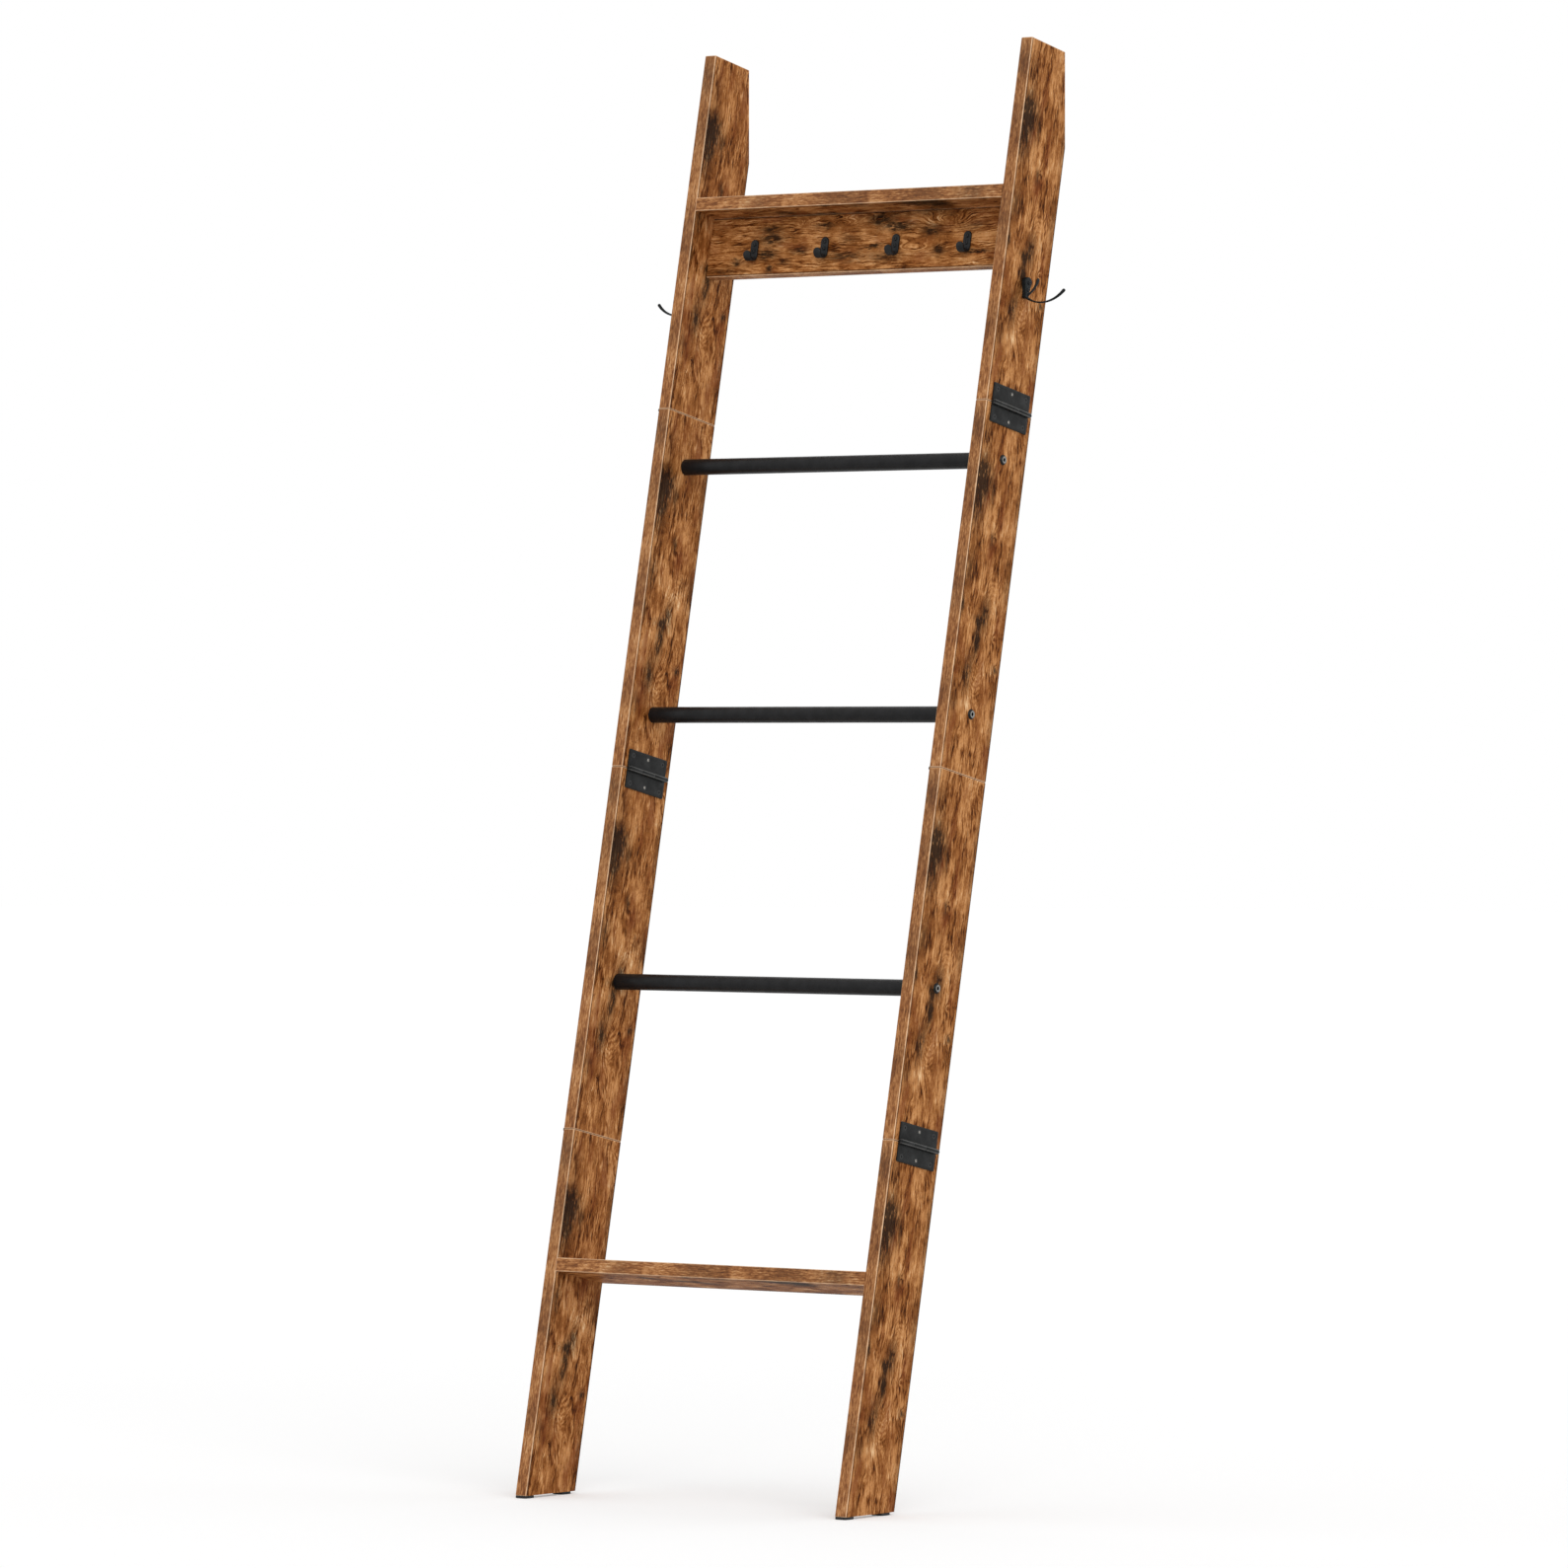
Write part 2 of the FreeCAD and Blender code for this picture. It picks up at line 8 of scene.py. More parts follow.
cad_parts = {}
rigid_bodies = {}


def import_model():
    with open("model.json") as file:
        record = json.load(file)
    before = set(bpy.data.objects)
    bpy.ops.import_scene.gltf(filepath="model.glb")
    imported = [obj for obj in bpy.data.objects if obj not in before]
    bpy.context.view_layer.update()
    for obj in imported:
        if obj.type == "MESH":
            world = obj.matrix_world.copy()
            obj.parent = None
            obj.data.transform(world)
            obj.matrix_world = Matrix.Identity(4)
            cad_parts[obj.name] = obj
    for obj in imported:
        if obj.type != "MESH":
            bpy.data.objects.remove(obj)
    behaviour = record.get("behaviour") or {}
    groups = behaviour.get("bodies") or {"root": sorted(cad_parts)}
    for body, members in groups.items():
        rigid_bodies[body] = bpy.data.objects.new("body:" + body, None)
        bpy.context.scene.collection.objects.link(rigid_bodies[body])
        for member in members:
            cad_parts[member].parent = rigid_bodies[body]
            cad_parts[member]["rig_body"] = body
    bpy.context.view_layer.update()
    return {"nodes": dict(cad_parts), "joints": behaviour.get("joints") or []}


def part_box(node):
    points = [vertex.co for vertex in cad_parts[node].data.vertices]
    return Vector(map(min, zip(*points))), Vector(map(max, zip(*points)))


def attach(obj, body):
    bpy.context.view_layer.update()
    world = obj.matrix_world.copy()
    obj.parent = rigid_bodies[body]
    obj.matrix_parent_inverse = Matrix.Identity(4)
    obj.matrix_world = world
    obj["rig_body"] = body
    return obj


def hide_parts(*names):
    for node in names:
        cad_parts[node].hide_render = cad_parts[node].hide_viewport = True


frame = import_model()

# Leg boards: four lengths of chipboard butted end to end in each leg, wrapped in a foil that is
# printed as weathered pine. The narrow edges carry a paler band, and every arris is broken, with a
# painted highlight in pale cream along it beside the dark line of glue.


class Signal:
    """A socket in the node tree of a finish. Arithmetic on it adds Math nodes to that tree."""

    def __init__(self, socket):
        self.socket = socket

    def node(self, kind, settings, sockets, output=0):
        """Adds a node to the same tree: its settings first, then the values or links of its sockets."""
        tree = self.socket.id_data
        made = tree.nodes.new(kind)
        for name, value in settings.items():
            setattr(made, name, value)
        for name, value in sockets.items():
            if isinstance(value, Signal):
                tree.links.new(value.socket, made.inputs[name])
            else:
                made.inputs[name].default_value = value
        return Signal(made.outputs[output])

    def math(self, operation, *others):
        return self.node("ShaderNodeMath", {"operation": operation}, dict(enumerate((self, *others))))

    def __add__(self, other):
        return self.math("ADD", other)

    __radd__ = __add__

    def __sub__(self, other):
        return self.math("SUBTRACT", other)

    def __rsub__(self, other):
        return self * -1 + other

    def __mul__(self, other):
        return self.math("MULTIPLY", other)

    __rmul__ = __mul__

    def __truediv__(self, other):
        return self.math("DIVIDE", other)

    def __pow__(self, other):
        return self.math("POWER", other)

    def __abs__(self):
        return self.math("ABSOLUTE")

    def along(self, direction):
        """How far this vector reaches along a fixed direction."""
        sockets = {0: self, 1: direction}
        return self.node("ShaderNodeVectorMath", {"operation": "DOT_PRODUCT"}, sockets, "Value")

    def step(self, low, high):
        """Rises smoothly from 0 at low to 1 at high."""
        sockets = {"Value": self, "From Min": low, "From Max": high}
        return self.node("ShaderNodeMapRange", {"interpolation_type": "SMOOTHSTEP"}, sockets)

    def tint(self, low, high):
        """The colour that runs from low to high as this signal runs from 0 to 1."""
        return self.node("ShaderNodeMix", {"data_type": "RGBA"}, {0: self, 6: low, 7: high}, 2)

    def cloud(self, sizes, detail=2.0, roughness=0.5):
        """Noise about zero at this place, with lumps of the given size in each direction."""
        scale = [1 / size for size in sizes]
        settings = {"operation": "MULTIPLY"}
        stretched = self.node("ShaderNodeVectorMath", settings, {0: self, 1: scale})
        sockets = {"Vector": stretched, "Scale": 1.0, "Detail": detail, "Roughness": roughness}
        return self.node("ShaderNodeTexNoise", {}, sockets) - 0.5

    def grit(self, size, detail=2.0, roughness=0.5):
        """Noise about zero with lumps of one size in every direction."""
        return self.cloud((size, size, size), detail, roughness)

    def into(self, shader, name):
        self.socket.id_data.links.new(self.socket, shader.inputs[name])


def colour(red, green, blue):
    """A screen colour in steps of 255, as the linear colour that a shader takes."""
    shares = [step / 255 for step in (red, green, blue)]
    return [s / 12.92 if s <= 0.04045 else ((s + 0.055) / 1.055) ** 2.4 for s in shares] + [1.0]


def new_finish(name):
    """A material, its shader, and the place and facing of each point of the piece that wears it."""
    material = bpy.data.materials.new(name)
    material.use_nodes = True
    nodes = material.node_tree.nodes
    coordinates = nodes.new("ShaderNodeTexCoord")
    place = Signal(coordinates.outputs["Object"])
    facing = Signal(coordinates.outputs["Normal"])
    return material, nodes["Principled BSDF"], place, facing


def emboss(height, shader, depth, strength):
    sockets = {"Height": height, "Distance": depth, "Strength": strength}
    height.node("ShaderNodeBump", {}, sockets).into(shader, "Normal")


def reach(node, direction):
    """How far a piece reaches along a direction, lowest and highest."""
    steps = [vertex.co.dot(direction) for vertex in frame["nodes"][node].data.vertices]
    return min(steps), max(steps)


def wear(finish, *nodes):
    for node in nodes:
        frame["nodes"][node].material_slots[0].material = finish


millimetre = 0.001
across_rack = Vector((1, 0, 0))
leg_back = Vector(frame["joints"][0]["axis"]).normalized()
leg_up = across_rack.cross(leg_back)

burnt = colour(54, 24, 6)
umber = colour(103, 54, 17)
pine = colour(150, 93, 46)
straw = colour(200, 141, 87)
bleached = colour(240, 200, 152)
foil_shades = ((0.0, 0.28, umber), (0.2, 0.55, pine), (0.48, 0.82, straw), (0.8, 1.15, bleached))
russet = colour(120, 59, 28)
soot = colour(28, 17, 9)
band_grey = colour(142, 106, 84)
glue_brown = colour(46, 25, 13)
# Pale cream of the painted highlight along the arrises and beside the seams.
painted_edge_highlight = colour(232, 192, 154)

# Lumps of the print's noises, in millimetres along, across and through a board.
long_wander_size = (110, 36, 36)
short_wander_size = (13, 7, 7)
patch_size = (46, 24, 24)
vein_patch_size = (34, 15, 15)
chip_size = (11, 3.6, 3.6)
crack_size = (22, 1.3, 2.5)
tear_size = (9, 5, 5)
speck_size = (2.6, 1.2, 1.2)
streak_size = (32, 1.7, 1.7)
speckle_size = (8, 1.5, 1.5)
red_size = (60, 22, 22)
wobble_size = (12, 4, 4)
mottle_size = (11, 2.6, 2.6)
grime_size = (30, 10, 10)

# How far the rings wander, the arches tear and the smudges wobble, in millimetres.
long_wander = 14
short_wander = 4.5
tear_reach = 16
wobble_reach = 16

# The coarse and the fine grain of the print, as lumps too.
leg_figure = ((58, 7.0, 9), (24, 3.0, 5))

# Knots lift the rings and smudges darken the foil. Each mark has its place along and across a
# board, in millimetres from its foot and its front, then its length, its width and its strength.
leg_knots = (
    (194, 45, 17, 7, 9), (130, 78, 6, 4, 6), (164, 69, 5, 3.5, 6), (102, 43, 32, 13, 14),
    (275, 46, 12, 4, 6), (45, 24, 5, 3, 5), (67, 26, 5, 3, 5), (425, 74, 40, 16, 12),
)
leg_smudges = (
    (345, 11, 20, 17, 1.4), (318, 8, 32, 13, 1.1), (235, 8, 20, 9, 0.7), (190, 48, 18, 8, 1.0),
    (180, 36, 5, 9, 0.8), (158, 38, 20, 6, 1.3), (116, 27, 20, 8, 1.0), (192, 3, 10, 3, 1.1),
    (130, 79, 5, 5, 1.0), (340, 86, 60, 5, 0.5), (230, 84, 30, 7, 0.5), (276, 44, 9, 4, 0.9),
    (330, 34, 16, 5, 0.6), (60, 86, 40, 5, 0.45), (80, 8, 16, 8, 0.5), (395, 12, 20, 8, 0.4),
)
band_stains = ((404, 0, 24, 30, 0.6), (215, 0, 34, 30, 0.35), (95, 0, 20, 30, 0.3))

# Arches have their place, length and width as the marks do, then how sharply they bend and strength.
leg_arches = (
    (104, 46, 22, 14, 0.065, 1.0), (222, 58, 16, 13, -0.07, 0.7), (424, 72, 20, 14, -0.05, 0.5),
)
leg_print = (leg_figure, leg_knots, leg_smudges, leg_arches)
arch_pitch = 6.5
ring_slant = 0.7

# Cosines between which a face comes to count as looking squarely along a direction.
squarely = (0.8, 0.95)
band_grey_share = 0.24
glue_share = 0.75
glue_line_start = 1.5
glue_line_end = 2.9
# Widths, in millimetres, of the painted shade in a seam and of the painted highlight beside it.
seam_shade_width = 0.4
seam_shade_core_share = 0.7
seam_highlight_reach = 1.5
most_dirt = 0.92
foil_gloss = 0.04
foil_relief = 0.0003


def point(along, across, through):
    return along.node("ShaderNodeCombineXYZ", {}, {"X": along, "Y": across, "Z": through})


def swell(along, across, mark):
    """A soft oval hill over one mark of the print."""
    mark_along, mark_across, length, width, height = mark
    far = (along - mark_along) / length
    wide = (across - mark_across) / width
    return ((far * far + wide * wide) * -1).math("EXPONENT") * height


def vein(figure, level, half):
    """A soft line wherever the figure passes a level."""
    return 1 - abs(figure - level).step(0.0, half)


def arched(along, across, torn, arch):
    """Nested arches across the grain, strongest at their own place, with torn lines."""
    arch_along, arch_across, length, width, bend, height = arch
    wide = across - arch_across
    waves = ((torn - wide * wide * bend) * (2 * math.pi / arch_pitch)).math("SINE")
    return waves * swell(along, across, (arch_along, arch_across, length, width, height))


def growth_rings(along, across, through, figure, knots, arches):
    """The printed rings of a face: how far they lighten the wood, and the height of their lines."""
    spot = point(along, across, through)
    wander = spot.cloud(long_wander_size) * long_wander + spot.cloud(short_wander_size) * short_wander
    knotted = across + through * ring_slant + sum(swell(along, across, knot) for knot in knots)
    flow = point(along, knotted + wander, through)
    coarse_size, fine_size = figure
    coarse = flow.cloud(coarse_size)
    fine = flow.cloud(fine_size, 2.0, 0.55)
    dark_lines = vein(coarse, 0.03, 0.055) + vein(fine, 0.05, 0.08) * 0.5
    pale_lines = vein(coarse, -0.06, 0.055) * 0.7 + vein(fine, -0.1, 0.07) * 0.45
    cracks = flow.cloud(crack_size, 2.0, 0.55).step(0.1, 0.2)
    torn = along + spot.cloud(tear_size, 3.0) * tear_reach
    arch_lines = sum(arched(along, across + wander * 0.5, torn, arch) for arch in arches)
    strength = spot.cloud(vein_patch_size).step(-0.24, 0.14)
    lightness = coarse * 0.45 + fine * 0.3 + arch_lines * 0.16 - cracks * 0.34
    lightness = lightness + strength * (pale_lines * 0.34 - dark_lines * 0.42)
    relief = pale_lines * 0.4 - dark_lines * 0.6 - cracks * 0.6 + arch_lines * 0.4
    return lightness, relief


def grime(spot, along, across, smudges, on_band):
    """Printed dirt: smudges on the faces, stains on the bands, and a faint cloud over both."""
    wobble = across + spot.cloud(wobble_size, 3.0, 0.6) * wobble_reach
    dirt = sum(swell(along, wobble, smudge) for smudge in smudges) * (1 - on_band * 0.7)
    dirt = dirt + sum(swell(along, across, stain) for stain in band_stains) * on_band
    dirt = dirt + spot.cloud(grime_size, 3.0).step(0.14, 0.32) * 0.4
    mottle = spot.cloud(mottle_size, 3.0, 0.7).step(-0.26, 0.06)
    return (dirt * mottle).math("MINIMUM", most_dirt)


def with_seams(wood, along, seams, highlight_breakup, beside):
    """The wood with a line of painted shade at each seam, between two painted highlights."""
    for seam in seams:
        from_seam = abs(along - seam)
        # Painted highlight on both edges of the seam, and painted shade in the seam itself.
        seam_highlight = (1 - from_seam.step(seam_shade_width, seam_highlight_reach)) * highlight_breakup * beside
        wood = seam_highlight.tint(wood, painted_edge_highlight)
        seam_shade = (1 - from_seam.step(seam_shade_width * seam_shade_core_share, seam_shade_width)) * beside
        wood = seam_shade.tint(wood, burnt)
    return wood


def printed_board(name, directions, width, starts, marks, seams=()):
    """Foil with its grain along the first direction, its edge bands facing the second, its face the
    third. The seams are the places along the board where it butts against the next one."""
    material, shader, place, facing = new_finish(name)
    along, across, through = [
        place.along(direction) / millimetre - start / millimetre
        for direction, start in zip(directions, starts)
    ]
    on_end, on_band, on_face = [
        abs(facing.along(direction)).step(*squarely) for direction in directions
    ]
    spot = point(along, across, through)
    figure, knots, smudges, arches = marks

    patches = spot.cloud(patch_size, 4.0, 0.6)
    chips = spot.cloud(chip_size, 3.0, 0.65)
    streaks = spot.cloud(streak_size, 3.0, 0.6)
    speckle = spot.cloud(speckle_size, 2.0, 0.6)
    specks = spot.cloud(speck_size, 1.0)
    pores = specks.step(0.1, 0.24)
    flecks = (specks * -1).step(0.16, 0.28)
    lightness, relief = growth_rings(along, across, through, figure, knots, arches)
    face_tone = 0.61 + lightness + patches * 1.4 + chips * 0.5 - pores * 0.22 + flecks * 0.22
    band_tone = 0.58 + streaks * 1.3 + speckle * 1.5 + patches * 1.1 - pores * 0.25 + flecks * 0.25
    tone = face_tone + on_band * (band_tone - face_tone)

    wood = burnt
    for low, high, shade in foil_shades:
        wood = tone.step(low, high).tint(wood, shade)
    redness = spot.cloud(red_size).step(0.02, 0.2) * (0.5 - on_band * 0.3)
    wood = redness.tint(wood, russet)
    wood = grime(spot, along, across, smudges, on_band).tint(wood, soot)
    wood = (on_band * band_grey_share).tint(wood, band_grey)

    from_edge = across.math("MINIMUM", width / millimetre - across)
    glue = on_face * (1 - from_edge.step(glue_line_start, glue_line_end)) * glue_share
    wood = glue.tint(wood, glue_brown)
    # Painted highlight: pale cream along every arris, broken up by the patches and speckle.
    highlight_breakup = (0.74 + patches + speckle * 1.2).math("MINIMUM", 1.0)
    arris = (1 - on_end.math("MAXIMUM", on_band).math("MAXIMUM", on_face)) * highlight_breakup
    wood = arris.tint(wood, painted_edge_highlight)
    wood = with_seams(wood, along, seams, highlight_breakup, 1 - on_end)

    wood.into(shader, "Base Color")
    (0.56 - tone * 0.14 + pores * 0.12).into(shader, "Roughness")
    shader.inputs["Specular IOR Level"].default_value = foil_gloss
    emboss(relief - pores * 0.4, shader, foil_relief, strength=0.6)
    return material


leg_front, leg_rear = reach("left_leg_lower", leg_back)
section_foot, section_head = reach("left_leg_lower", leg_up)
section_length = section_head - section_foot
seam_below = 0
seam_above = section_length / millimetre
leg_seams = {
    "bottom": (seam_above,),
    "lower": (seam_below, seam_above),
    "upper": (seam_below, seam_above),
    "top": (seam_below,),
}
for level, seams in leg_seams.items():
    section_end = reach(f"left_leg_{level}", leg_up)[1]
    leg_finish = printed_board(
        f"leg_{level}_foil",
        (leg_up, leg_back, across_rack),
        leg_rear - leg_front,
        (section_end - section_length, leg_front, 0.0),
        leg_print,
        seams,
    )
    wear(leg_finish, f"left_leg_{level}", f"right_leg_{level}")

# Foot pads: squares of black foam rubber stuck under the level cut of each foot, two to a foot,
# their corners rounded by the die and their sides swollen a little under the load.

pad_corner = 0.0022
pad_swell = 0.0002
pad_rim = 0.0005
pad_cell_size = 0.0011
pad_cell_depth = 0.0004
pad_dust_size = 0.006
corner_steps = 6


def rounded_outline(half_long, half_wide, corner):
    """Points of a rectangle with round corners, anticlockwise from its right side."""
    points = []
    for quarter, (side_long, side_wide) in enumerate(((1, 1), (-1, 1), (-1, -1), (1, -1))):
        for step in range(corner_steps + 1):
            angle = math.pi / 2 * (quarter + step / corner_steps)
            points.append((
                side_long * (half_long - corner) + corner * math.cos(angle),
                side_wide * (half_wide - corner) + corner * math.sin(angle),
            ))
    return points


def mesh_of(name, shape, crease=35):
    """A finished mesh: faces outwards, shaded soft where they meet by less than the crease in degrees."""
    bmesh.ops.recalc_face_normals(shape, faces=shape.faces)
    mesh = bpy.data.meshes.new(name)
    shape.to_mesh(mesh)
    shape.free()
    mesh.polygons.foreach_set("use_smooth", [True] * len(mesh.polygons))
    mesh.set_sharp_from_angle(angle=math.radians(crease))
    return mesh


def add_loft(shape, rings):
    """Adds a closed skin through rings of points, with a face over each end."""
    loops = [[shape.verts.new(place) for place in ring] for ring in rings]
    for lower, upper in zip(loops, loops[1:]):
        for index, vertex in enumerate(lower):
            after = (index + 1) % len(lower)
            shape.faces.new((vertex, lower[after], upper[after], upper[index]))
    shape.faces.new(loops[0])
    shape.faces.new(loops[-1])


def stand_for(name, mesh, node, finish):
    """Puts a made piece in the place of a node, riding on the same body."""
    piece = bpy.data.objects.new(name, mesh)
    bpy.context.scene.collection.objects.link(piece)
    mesh.materials.append(finish)
    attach(piece, frame["nodes"][node]["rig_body"])
    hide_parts(node)
    return piece


pad_finish, pad_shader, pad_place, _ = new_finish("foam_rubber")
pad_cells = pad_place.grit(pad_cell_size)
pad_dust = pad_place.grit(pad_dust_size, 3.0).step(-0.1, 0.25)
pad_dust.tint(colour(24, 24, 25), colour(48, 46, 44)).into(pad_shader, "Base Color")
(0.82 + pad_cells * 0.3).into(pad_shader, "Roughness")
emboss(pad_cells, pad_shader, pad_cell_depth, strength=0.6)

for hand in ("left", "right"):
    for end in ("front", "rear"):
        node = f"{hand}_{end}_foot_pad"
        low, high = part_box(node)
        middle = (low + high) / 2
        half_long = (high.x - low.x) / 2
        half_wide = (high.y - low.y) / 2
        levels = (
            (low.z, -pad_rim), (low.z + pad_rim / 3, -pad_rim / 3), (low.z + pad_rim, 0),
            (middle.z, pad_swell), (high.z - pad_rim, 0), (high.z, -pad_rim / 3),
        )
        pad_rings = []
        for height, grow in levels:
            outline = rounded_outline(half_long + grow, half_wide + grow, pad_corner)
            pad_rings.append([(middle.x + x, middle.y + y, height) for x, y in outline])
        pad_shape = bmesh.new()
        add_loft(pad_shape, pad_rings)
        stand_for(f"{node}_rubber", mesh_of(node, pad_shape), node, pad_finish)

# Hinges: two leaves stamped from steel strip, their tabs rolled round a pin, coated matt black.
# Countersunk cross-recess screws hold each leaf, and the driver has bared the middle ones.

hinge_half = 0.036
knuckle_half = hinge_half / 3
knuckle_play = 0.00015
hinge_spans = {
    "above": ((-knuckle_half + knuckle_play, knuckle_half - knuckle_play),),
    "below": ((-hinge_half, -knuckle_half - knuckle_play), (knuckle_half + knuckle_play, hinge_half)),
}
leaf_far = 0.023
leaf_thickness = 0.0016
leaf_corner = 0.0015
leaf_softness = 0.0003
tab_end = 0.0006
tab_start = 0.0027
roll_outer = 0.0030
roll_inner = 0.00155
roll_lead = 0.0010
roll_inset = 0.00005
roll_softness = 0.00015
roll_steps = 28
roll_sweep = math.radians(292)
hole_foot = 0.00155
hole_mouth = 0.00325
hole_steps = 24
screw_row = 0.01656
screw_pitch = 0.02808
pin_radius = 0.0015
pin_head_radius = 0.0025
pin_head_length = 0.0015
pin_head_shares = ((0.45, 0.0), (0.85, 0.2), (1.0, 0.55), (1.0, 1.0))
pin_tip_shares = ((1.0, 0.4), (0.75, 0.1), (0.4, 0.0))
round_steps = 32
sharp_angle = math.radians(40)
bared_spot = (0.0012, 0.0018)
bared_steel = colour(205, 200, 192)
# Grey of the painted highlight lines on the hinge knuckles, and the size of the breaks in them.
painted_highlight_grey = colour(98, 98, 96)
highlight_break_size = 0.004
haze_size = 0.012
screw_haze_size = 0.003
coat_gloss = 0.2
coat_peel = 0.00006


def add_sheet(shape, outlines, thickness, softness, holes=()):
    """Adds flat stock on z = 0: the first outline less the others, with softened edges. A hole's upper
    rim is opened to its mouth."""
    edges = []
    for outline in outlines:
        ring = [shape.verts.new((x, y, 0)) for x, y in outline]
        edges += [shape.edges.new((vertex, ring[index - 1])) for index, vertex in enumerate(ring)]
    faces = [
        item for item in bmesh.ops.triangle_fill(shape, use_beauty=True, edges=edges)["geom"]
        if isinstance(item, bmesh.types.BMFace)
    ]
    raised = bmesh.ops.extrude_face_region(shape, geom=faces)["geom"]
    upper = [item for item in raised if isinstance(item, bmesh.types.BMVert)]
    for vertex in upper:
        vertex.co.z += thickness
        for x, y, mouth in holes:
            from_hole = vertex.co.xy - Vector((x, y))
            if from_hole.length < mouth:
                vertex.co.xy = Vector((x, y)) + from_hole.normalized() * mouth
    bmesh.ops.recalc_face_normals(shape, faces=shape.faces)
    mine = set(upper) | {vertex for edge in edges if edge.is_valid for vertex in edge.verts}
    sharp = [
        edge for edge in shape.edges
        if set(edge.verts) <= mine and edge.is_manifold and edge.calc_face_angle() > sharp_angle
        and abs(edge.verts[0].co.z - edge.verts[1].co.z) < thickness / 2
    ]
    bmesh.ops.bevel(
        shape, geom=sharp, offset=softness, offset_type="OFFSET", segments=2, profile=0.5, affect="EDGES",
    )


def circle(x, y, radius, steps):
    turns = [2 * math.pi * step / steps for step in range(steps)]
    return [(x + radius * math.cos(turn), y + radius * math.sin(turn)) for turn in turns]


def set_on(shape, origin, *axes):
    """Moves a shape to its place, with its own three axes along the given directions."""
    turn = Matrix(axes).transposed().to_4x4()
    turn.translation = origin
    bmesh.ops.transform(shape, matrix=turn, verts=shape.verts)


def add_shape(group, shape):
    """Adds a shape to a group of them, as it lies."""
    mesh = bpy.data.meshes.new("part")
    shape.to_mesh(mesh)
    shape.free()
    group.from_mesh(mesh)
    bpy.data.meshes.remove(mesh)


def leaf_outline(spans):
    """The stamped blank: round corners at the far edge, and a tab for each knuckle at the near one."""
    far_edge = [corner for corner in rounded_outline(hinge_half, leaf_far, leaf_corner) if corner[1] > 0]
    near = [(-hinge_half, tab_start)]
    for start, end in spans:
        near += [(start, tab_start), (start, tab_end), (end, tab_end), (end, tab_start)]
    near.append((hinge_half, tab_start))
    near_edge = [corner for index, corner in enumerate(near) if near.index(corner) == index]
    if spans[0][0] <= -hinge_half:
        near_edge.remove((-hinge_half, tab_start))
    if spans[-1][1] >= hinge_half:
        near_edge.remove((hinge_half, tab_start))
    return far_edge + near_edge


def roll_outline(height):
    """The end view of a rolled tab: out of the leaf, then round the pin until it nearly closes."""
    turns = [-math.pi / 2 - roll_sweep * step / roll_steps for step in range(roll_steps + 1)]
    outer = [(roll_outer * math.cos(turn), height + roll_outer * math.sin(turn)) for turn in turns]
    turns.reverse()
    inner = [(roll_inner * math.cos(turn), height + roll_inner * math.sin(turn)) for turn in turns]
    lead = tab_start + roll_lead
    return [(lead, roll_inset)] + outer + inner + [(lead, leaf_thickness - roll_inset)]


def add_leaf(shape, spans, pin_height):
    """A leaf that lies on z = 0 with its tabs rolled round a pin along x, and three sunk screw holes."""
    holes = [(row * screw_pitch, screw_row, hole_mouth) for row in (-1, 0, 1)]
    rims = [circle(x, y, hole_foot, hole_steps) for x, y, _ in holes]
    add_sheet(shape, [leaf_outline(spans)] + rims, leaf_thickness, leaf_softness, holes)
    for start, stop in spans:
        roll = bmesh.new()
        add_sheet(roll, [roll_outline(pin_height)], stop - start, roll_softness)
        set_on(roll, (start, 0, 0), (0, 1, 0), (0, 0, 1), (1, 0, 0))
        add_shape(shape, roll)


def add_pin(shape, low, high):
    """A pin along z: a domed head at the low end, and a shank with a rounded tip at the high one."""
    profile = [(pin_head_radius * wide, low + pin_head_length * far) for wide, far in pin_head_shares]
    profile.append((pin_radius, low + pin_head_length))
    profile += [(pin_radius * wide, high - pin_radius * far) for wide, far in pin_tip_shares]
    add_loft(shape, [
        [(x, y, height) for x, y in circle(0, 0, radius, round_steps)] for radius, height in profile
    ])


def black_coat(name, dark, pale, smooth, rough, grain, highlight_towards=None):
    """Baked black coat: faint cloudiness, fine peel, and grey painted highlights on slanting round sides."""
    material, shader, place, facing = new_finish(name)
    peel = place.grit(grain)
    haze = place.grit(haze_size, 3.0).step(-0.2, 0.2)
    coat = haze.tint(dark, pale)
    # Painted highlight: grey lines on round sides whose facing slants to the given direction.
    if highlight_towards:
        slope = abs(facing.along(highlight_towards))
        painted_highlight = slope.step(0.4, 0.6) * (1 - slope.step(0.74, 0.9)) * (0.8 + place.grit(highlight_break_size))
        coat = painted_highlight.tint(coat, painted_highlight_grey)
    coat.into(shader, "Base Color")
    (smooth + (1 - haze) * (rough - smooth) + peel * 0.12).into(shader, "Roughness")
    shader.inputs["Specular IOR Level"].default_value = coat_gloss
    emboss(peel, shader, coat_peel, strength=0.5)
    return material
